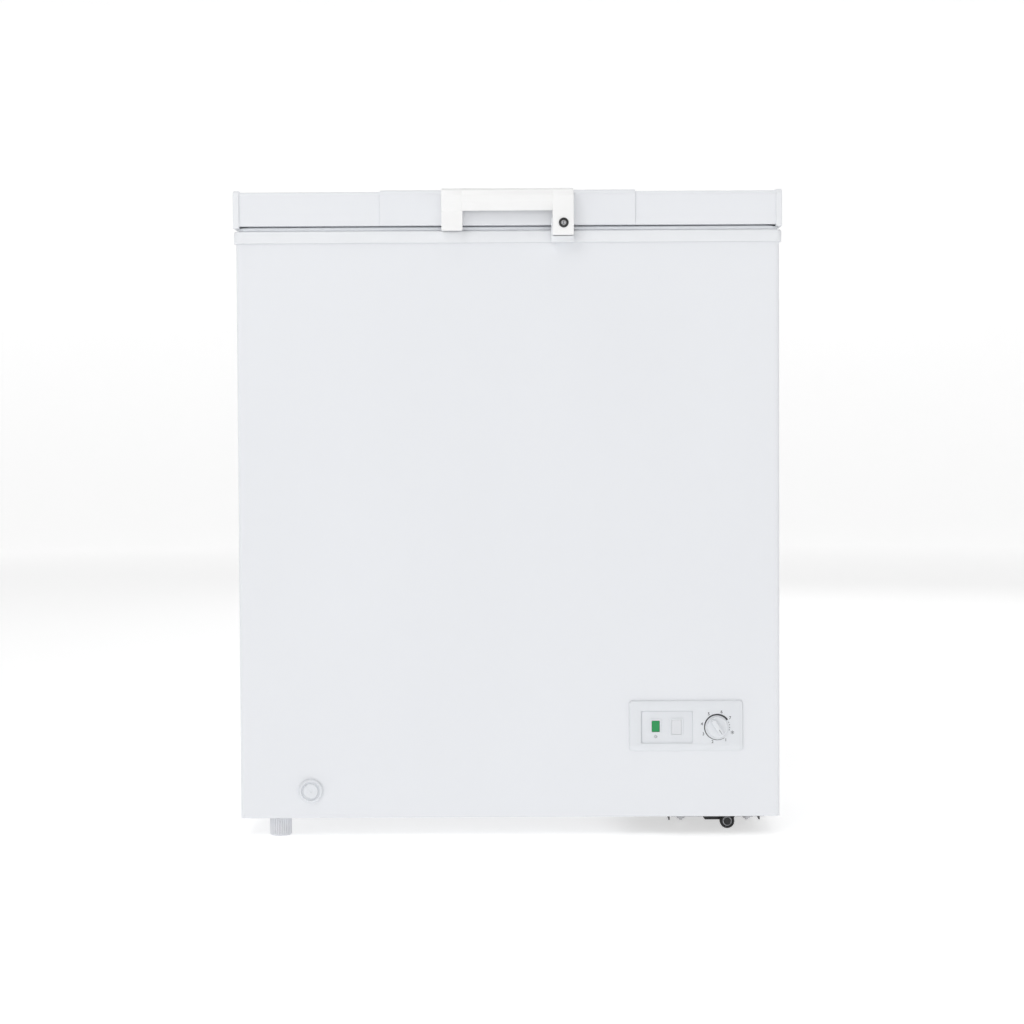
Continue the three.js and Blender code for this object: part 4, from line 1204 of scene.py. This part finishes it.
    @staticmethod
    def _bar(mark: Surface, centre: Array, start: Any, end: Any, half: float) -> None:
        """Adds a flat printed bar between two points of the panel's face."""
        a, b = np.array(start, float), np.array(end, float)
        side = (b - a) / np.linalg.norm(b - a)
        side = np.array([-side[1], side[0]]) * half
        outline = np.array([a - side, b - side, b + side, a + side]) + centre[[0, 2]]
        mark.loft(on_axis(outline, [centre[1], centre[1] - 0.06], "Y"))

    def _knob(self) -> None:
        """A turned skirt, a rounded grip across it and a pointer line on the end that shows the number."""
        face = self.face
        skirt = rounded_profile(
            [(0.0, 7.0, 0.0), (3.8, 7.0, 0.3), (3.8, -0.5, 0.1), (13.4, -0.5, 0.2), (14.0, -1.0, 0.3),
             (14.0, -3.0, 0.9), (12.8, -5.2, 1.2), (11.4, -4.6, 0.5), (0.0, -4.6, 0.0)], 5)
        centre = (self.dial[0], face, self.dial[2])
        turn = math.radians(self.first_angle)
        knob = Surface().loft(lathe(skirt, centre, "Y", 64))
        grip = plate(lambda i: rounded_rectangle((-3.3 + i, -11.6 + i), (3.3 - i, 11.6 - i), 3.2 - i),
                     -10.8, -4.2, 1.6, "Y")
        knob.loft(self._turned(grip, turn) + np.array(centre))
        knob.build("dial_knob", Finish.PANEL_PLASTIC, "knob", ["thermostat_knob"])
        line = plate(lambda i: rounded_rectangle((-0.45 + i, 3.0 + i), (0.45 - i, 10.2 - i), 0.4),
                     -10.86, -10.7, 0.03, "Y")
        Surface().loft(self._turned(line, turn) + np.array(centre)).build(
            "knob_pointer", Finish.GREY_PRINT, "knob")

    @staticmethod
    def _turned(points: Array, angle: float) -> Array:
        """Points turned clockwise about Y, as seen from the front."""
        x, y, z = points[..., 0], points[..., 1], points[..., 2]
        c, s = math.cos(angle), math.sin(angle)
        return np.stack([x * c + z * s, y, z * c - x * s], -1)


@dataclass
class Drain:
    """The round cap that closes the drain's mouth on the front."""

    profile: tuple[tuple[float, float, float], ...] = (
        (0.0, 8.0, 0.0), (7.0, 8.0, 0.5), (7.0, -0.3, 0.1), (15.8, -0.3, 0.2), (15.8, -2.6, 0.9),
        (14.2, -4.4, 1.0),
        (12.6, -4.7, 0.5), (12.0, -2.2, 0.4), (10.0, -2.2, 0.4), (9.4, -4.7, 0.6), (2.0, -4.7, 0.4),
        (1.5, -3.9, 0.3),
        (0.0, -3.9, 0.0))

    def build(self) -> None:
        """Turns the cap about Y."""
        low, high = box_mm("drain_cap")
        centre = ((low[0] + high[0]) / 2, high[1] - 8.0, (low[2] + high[2]) / 2)
        rings = lathe(rounded_profile(self.profile, 5), centre, "Y", 72)
        Surface().loft(rings).build("drain_plug", Finish.PANEL_PLASTIC, "drain_cap_body", ["drain_cap"])


@dataclass
class FeetAndCasters:
    """Two fluted levelling feet on threaded studs, and two wheels."""

    flutes: int = 30
    radius: float = 14.5
    flute_depth: float = 1.5
    levels: tuple[tuple[float, float], ...] = (
        (0.0, 12.4), (0.25, 13.2), (0.9, 13.8), (1.6, 14.0), (1.9, 14.1), (2.2, 14.4), (2.8, 14.5),
        (22.8, 14.5), (23.9, 14.2), (24.6, 13.2))
    tyre: tuple[tuple[float, float, float], ...] = (
        (6.2, 4.6, 0.3), (7.2, 6.0, 0.4), (8.4, 6.0, 1.2), (9.8, 4.4, 2.2), (9.8, -4.4, 2.2),
        (8.4, -6.0, 1.2),
        (7.2, -6.0, 0.4), (6.2, -4.6, 0.3))
    hub: tuple[tuple[float, float, float], ...] = (
        (2.8, 5.6, 0.3), (4.2, 5.6, 0.4), (4.8, 4.2, 0.4), (6.3, 4.4, 0.2), (6.3, -4.4, 0.2),
        (4.8, -4.2, 0.4),
        (4.2, -5.6, 0.4), (2.8, -5.6, 0.3))

    def build(self) -> None:
        """Builds a foot and a wheel at the front and at the rear."""
        for end in ("front", "rear"):
            self._foot(end)
            self._wheel(end)

    def _foot(self, end: str) -> None:
        """Rings whose radius dips by the flutes' depth times a rounded wave, and a threaded stud."""
        node = f"levelling_foot_{end}"
        centre = middle_mm(node)[:2]
        angle = np.linspace(0, TAU, self.flutes * 8, endpoint=False)
        wave = np.clip(0.1 - 1.1 * np.cos(self.flutes * angle), 0, 1)
        heights, radii = np.array(self.levels).T
        share = np.clip((heights - 1.5) / 1.2, 0, 1)
        radius = radii[:, None] - self.flute_depth * share[:, None] * wave[None, :]
        outline = np.stack([centre[0] + radius * np.cos(angle), centre[1] + radius * np.sin(angle)], -1)
        foot = Surface().loft(on_axis(outline, heights, "Z"))
        foot.build(f"foot_{end}_grip", Finish.GREY_PLASTIC, f"foot_{end}", [node], 50)
        steps = np.arange(49)
        thread = np.stack([np.where(steps % 2, 3.9, 3.4), 24.0 + steps * 0.5], -1)
        thread = np.concatenate([[[0, 24.0]], thread, [[0, 48.0]]])
        Surface().loft(lathe(thread, (*centre, 0.0), "Z", 24)).build(f"foot_{end}_stud", Finish.HARDWARE,
                                                                     f"foot_{end}")

    def _wheel(self, end: str) -> None:
        """A tyre with rounded shoulders on a dished hub."""
        node = f"caster_wheel_{end}"
        centre = middle_mm(node)
        tyre = lathe(filleted(self.tyre, 5), centre, "Y", 56)
        Surface().loft(tyre, False, True).build(f"caster_{end}_tyre", Finish.BLACK_PLASTIC,
                                                f"caster_{end}", [node])
        hub = lathe(filleted(self.hub, 4), centre, "Y", 48)
        wheel = Surface().loft(hub, False, True)
        axle = [(0.0, 6.0, 0.0), (1.9, 6.0, 0.5), (2.6, 5.0, 0.3), (2.6, -5.0, 0.3), (1.9, -6.0, 0.5),
                (0.0, -6.0, 0.0)]
        wheel.loft(lathe(rounded_profile(axle, 4), centre, "Y", 32))
        wheel.build(f"caster_{end}_hub", Finish.GREY_PLASTIC, f"caster_{end}")


@dataclass
class Compressor:
    """The sealed compressor: two drawn half shells with a welded seam, feet and three stubs."""

    centre: tuple[float, float] = (280.0, -70.0)
    squeeze: float = 0.82
    profile: tuple[tuple[float, float, float], ...] = (
        (0.0, 27.2, 0.0), (40.0, 27.2, 8.0), (66.0, 36.0, 16.0), (73.5, 70.0, 20.0), (73.5, 104.8, 1.5),
        (77.0, 105.6, 0.8), (77.0, 110.8, 0.8), (73.5, 111.6, 1.5), (73.5, 140.0, 22.0), (60.0, 172.0, 20.0),
        (30.0, 180.4, 12.0), (0.0, 180.6, 0.0))
    stubs: tuple[tuple[float, float, float, float, float], ...] = (
        (300.0, 120.0, 3.2, -8.0, 22.0), (260.0, 130.0, 4.6, -8.0, 22.0), (280.0, 96.0, 2.8, -8.0, 42.0))

    def build(self) -> None:
        """Turns the shell, squeezes it to an oval, and adds the foot plate and the stubs."""
        rings = lathe(rounded_profile(self.profile, 6), (0.0, 0.0, 0.0), "Z", 96)
        rings = rings * np.array([self.squeeze, 1.0, 1.0]) + np.array([*self.centre, 0.0])
        body = Surface().loft(rings)
        foot = plate(lambda i: rounded_rectangle((220 + i, -166 + i), (340 - i, 26 - i), 14 - i),
                     24.0, 27.0, 0.8, "Z")
        body.loft(foot)
        for x, z, radius, start, end in self.stubs:
            profile = np.array([[0, start], [radius, start], [radius, end - 0.6], [radius - 0.6, end],
                                [0, end]])
            body.loft(lathe(profile, (x, 0.0, z), "Y", 24))
        body.build("compressor_shell", Finish.BLACK_STEEL, "cabinet", ["compressor"])


@dataclass
class Hinges:
    """The torsion springs round the hinge pins, and the screws that hold the leaves."""

    turns: int = 7
    coil_radius: float = 5.6
    wire: float = 1.1
    half_length: float = 17.0

    def build(self) -> None:
        """Winds a spring for each hinge and screws its leaves on."""
        for side in ("left", "right"):
            pin = middle_mm(f"hinge_pin_{side}")
            middle = middle_mm(f"hinge_body_leaf_{side}")[0]
            self._spring(side, np.array([middle, pin[1], pin[2]]))
            body, lid = box_mm(f"hinge_body_leaf_{side}"), box_mm(f"hinge_lid_leaf_{side}")
            spots = [(middle + x, body[0][2] + z) for x in (-17, 17) for z in (12, 40)]
            Screws(3.4).build(f"hinge_body_screws_{side}", spots, body[0][1] + 2.0, "cabinet")
            spots = ([(middle + x, lid[1][2] - z) for x in (-14, 14) for z in (8.0,)]
                     + [(middle, lid[1][2] - 22)])
            Screws(3.0).build(f"hinge_lid_screws_{side}", spots, lid[0][1] + 2.0, "lid")

    def _spring(self, side: str, centre: Array) -> None:
        """A helix about X with a straight leg at each end: one up the lid leaf, one down the body leaf."""
        t = np.linspace(0, 1, self.turns * 20 + 1)
        angle = math.pi + t * TAU * self.turns
        helix = np.stack([self.half_length * (2 * t - 1), self.coil_radius * np.cos(angle),
                          self.coil_radius * np.sin(angle)], -1)
        up = np.linspace([-self.half_length - 1, -5.1, 30],
                         [-self.half_length - 0.4, -self.coil_radius, 2.5], 8)
        down = np.linspace([self.half_length + 0.4, -self.coil_radius, -2.5],
                           [self.half_length + 1, -8.2, -50], 12)
        path = np.concatenate([up, helix, down]) + centre
        piece = Surface().loft(tube(path, self.wire, 10)).build(
            f"spring_{side}", Finish.HARDWARE, "", [f"hinge_spring_{side}"])
        start, end = centre.copy(), centre.copy()
        start[0] -= self.half_length
        end[0] += self.half_length
        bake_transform(piece)


@dataclass
class Screws:
    """Pan-head screws with a cross recess, facing along Y or X."""

    radius: float = 3.2
    dome: float = 1.5
    arm: float = 0.32
    depth: float = 0.7

    def head(self) -> tuple[Array, list[list[int]]]:
        """One head on a polar grid.

        Returns:
            Points (across, up, out) and faces. The height is a flattened dome, less the recess where
            either coordinate across is small and the radius is within six tenths.
        """
        radii = np.array([0.02, 0.1, 0.2, 0.28, 0.36, 0.46, 0.56, 0.64, 0.8, 0.92, 1.0, 1.0])
        turn = np.linspace(0, TAU, 40, endpoint=False) + TAU / 80
        x, y = radii[:, None] * np.cos(turn), radii[:, None] * np.sin(turn)
        height = self.dome * (1 - radii[:, None] ** 4 * 0.75) * np.ones_like(x)
        height[-1] = -0.1
        crossed = (np.minimum(np.abs(x), np.abs(y)) < self.arm * 0.6) & (radii[:, None] < 0.6)
        height = np.where(crossed, height - self.depth, height)
        points = np.stack([x * self.radius, y * self.radius, height], -1).reshape(-1, 3)
        faces = [list(f) for f in grid_faces(len(radii), 40, False, True)] + [list(range(40))]
        return points, faces

    def build(self, name: str, spots: Sequence[tuple[float, float]], level: float, body: str,
              axis: str = "Y",
              out: int = 1) -> None:
        """Puts a head at each (x, z) or (y, z) spot on a face at a level.

        Args:
            name: The piece's name.
            spots: Where the screws are on the face.
            level: The face's place along the axis.
            body: The CAD body the screws move with.
            axis: The axis across the face, X, Y or Z.
            out: 1 where the heads point along the axis and -1 where they point against it.
        """
        points, faces = self.head()
        group = Surface()
        for a, b in spots:
            level_points = level + out * points[:, 2]
            if axis == "Y":
                placed = np.stack([a + points[:, 0], level_points, b + points[:, 1]], -1)
            elif axis == "X":
                placed = np.stack([level_points, a + points[:, 0], b + points[:, 1]], -1)
            else:
                placed = np.stack([a + points[:, 0], b + points[:, 1], level_points], -1)
            group.add(placed, faces)
        group.build(name, Finish.HARDWARE, body)


@dataclass
class Fixings:
    """Screws of the rear cover, the side grille and the base plate."""

    def build(self) -> None:
        """Places each group by the box of what it holds."""
        low, high = box_mm("rear_cover")
        spots = [(x, z) for x in (low[0] + 9, high[0] - 9)
                 for z in (low[2] + 12, (low[2] + high[2]) / 2, high[2] - 9)]
        Screws(3.6).build("rear_cover_screws", spots, high[1], "cabinet")
        low, high = box_mm("side_vent_grille")
        spots = [(y, z) for y in (low[1] + 6.5, high[1] - 6.5) for z in (low[2] + 6.5, high[2] - 6.5)]
        Screws(2.6, 0.9).build("grille_screws", spots, high[0], "cabinet", "X")
        low, high = box_mm("compressor_base_plate")
        bolts = Surface()
        for x in (low[0] + 17, high[0] - 17):
            profile = filleted([(0.0, 8.2, 0), (2.4, 8.2, 0.4), (2.4, 10.4, 0.1), (5.4, 10.4, 0.8),
                                (5.4, 13.6, 0.4),
                                (7.0, 13.8, 0.3), (7.0, 16.2, 0.2), (0.0, 16.2, 0)], 3)
            bolts.loft(lathe(profile, (x, low[1] + 64.5, 0.0), "Z", 24))
        bolts.build("base_plate_bolts", Finish.HARDWARE, "cabinet")
        low, high = box_mm("back_panel")
        spots = [(x, z) for x in (low[0] + 10, high[0] - 10) for z in (300.0, 460.0, 620.0, 770.0)]
        Screws(3.0).build("back_panel_screws", spots, high[1] + 1.0, "cabinet")


@dataclass
class Basket:
    """The hanging basket: two rims, loops of wire both ways and four hooks over the ledge."""

    wire: float = 1.5
    rim_wire: float = 2.6
    corner: float = 14.0
    bend: float = 9.0
    across: int = 13
    along: int = 8

    def build(self) -> None:
        """Runs every wire as a round tube along its own path."""
        cad = box_mm("wire_basket")
        self.rim, self.floor = 772.0, cad[0][2] + 1.6
        self.x = (cad[0][0] + 2.6, cad[1][0] - 2.6)
        self.y = (cad[0][1] + 17.0, cad[1][1] - 17.0)
        basket = Surface()
        for height, radius, inset in ((self.rim, self.rim_wire, 0.0), (self.rim - 50, self.wire, 1.6),
                                      (self.rim - 100, self.wire, 1.6), (self.rim - 150, self.wire, 1.6)):
            low, high = (self.x[0] + inset, self.y[0] + inset), (self.x[1] - inset, self.y[1] - inset)
            loop = on_axis(rounded_rectangle(low, high, self.corner, 6), [height], "Z")[0]
            basket.loft(tube(loop, radius, 8, True), False, True)
        for at in np.linspace(*self.y, self.across + 2)[1:-1]:
            basket.loft(tube(self._loop(self.x, at, False), self.wire, 8))
        for at in np.linspace(*self.x, self.along + 2)[1:-1]:
            basket.loft(tube(self._loop(self.y, at, True), self.wire, 8))
        for at in (self.x[0] + 40, self.x[1] - 40):
            for edge, out in ((self.y[0], -1), (self.y[1], 1)):
                path = [(at, edge, self.rim - 60), (at, edge, self.rim), (at, edge, 784),
                        (at, edge + out * 1.4, 789),
                        (at, edge + out * 5, 790.8), (at, edge + out * 17, 790.8)]
                basket.loft(tube(flowing(path, 5), 2.2, 10))
        basket.build("basket_wires", Finish.WIRE, "basket", ["wire_basket"], 60)

    def _loop(self, span: tuple[float, float], at: float, lengthwise: bool) -> Array:
        """A U of wire down one side, across the floor and up the other, with round bends."""
        angle = np.linspace(0, math.pi / 2, 5)
        low, high, r = span[0], span[1], self.bend
        first = np.stack([low + r - r * np.cos(angle), self.floor + r - r * np.sin(angle)], -1)
        last = np.stack([high - r + r * np.sin(angle), self.floor + r - r * np.cos(angle)], -1)
        line = np.concatenate([[[low, self.rim]], first, last, [[high, self.rim]]])
        place = np.full(len(line), at)
        return np.stack([place, line[:, 0], line[:, 1]] if lengthwise else [line[:, 0], place, line[:, 1]],
                        -1)


@dataclass
class PlainNodes:
    """CAD nodes whose shape is right as it is: each gets a finish and softly broken edges."""

    edges: dict[Finish, tuple[float, tuple[str, ...]]] = field(default_factory=lambda: {
        Finish.WHITE_STEEL: (0.0005, ("outer_case", "handle_backplate")),
        Finish.ZINC: (0.0003, ("back_panel", "bottom_panel", "rear_cover", "thermostat_body")),
        Finish.HARDWARE: (0.0003, (
            "lock_cam", "hinge_body_leaf_left", "hinge_body_leaf_right", "hinge_lid_leaf_left",
            "hinge_lid_leaf_right", "hinge_pin_left", "hinge_pin_right", "compressor_bolt_1",
            "compressor_bolt_2", "compressor_bolt_3", "compressor_bolt_4")),
        Finish.LINER: (0.0, ("evaporator_coil",)),
        Finish.FOAM: (0.0, ("insulation_foam", "lid_foam")),
        Finish.WHITE_PLASTIC: (0.0005, ("side_vent_grille", "latch_keeper", "drain_tube", "drain_stopper")),
        Finish.GREY_PLASTIC: (0.0003, ("lamp_holder",)),
        Finish.BLACK_STEEL: (0.0004, ("compressor_base_plate", "caster_bracket_front",
                                      "caster_bracket_rear")),
        Finish.BLACK_RUBBER: (0.0005, (
            "cord_gland", "compressor_grommet_1", "compressor_grommet_2", "compressor_grommet_3",
            "compressor_grommet_4")),
        Finish.BLACK_PLASTIC: (0.0008, ("start_relay_cover",)),
        Finish.COPPER: (0.0, ("condenser_coil", "filter_drier", "suction_line", "discharge_line")),
        Finish.GREEN_LENS: (0.0003, ("running_lamp_lens",)),
        Finish.CLEAR_LENS: (0.0003, ("power_lamp_lens",)),
    })

    def build(self) -> None:
        """Dresses every node in the table."""
        for finish, (edge, nodes) in self.edges.items():
            for node in nodes:
                soften(node, finish, edge)


def main() -> None:
    """Builds the studio and the freezer's sub-assemblies in order."""
    logging.basicConfig(level=logging.INFO, format="%(name)s: %(message)s")
    Studio().build()
    for assembly in (PlainNodes, TopFrame, Liner, Lid, Handle, Lock, ControlPanel, Drain, FeetAndCasters,
                     Compressor, Hinges, Fixings, Basket):
        assembly().build()


if __name__ == "__main__":
    main()
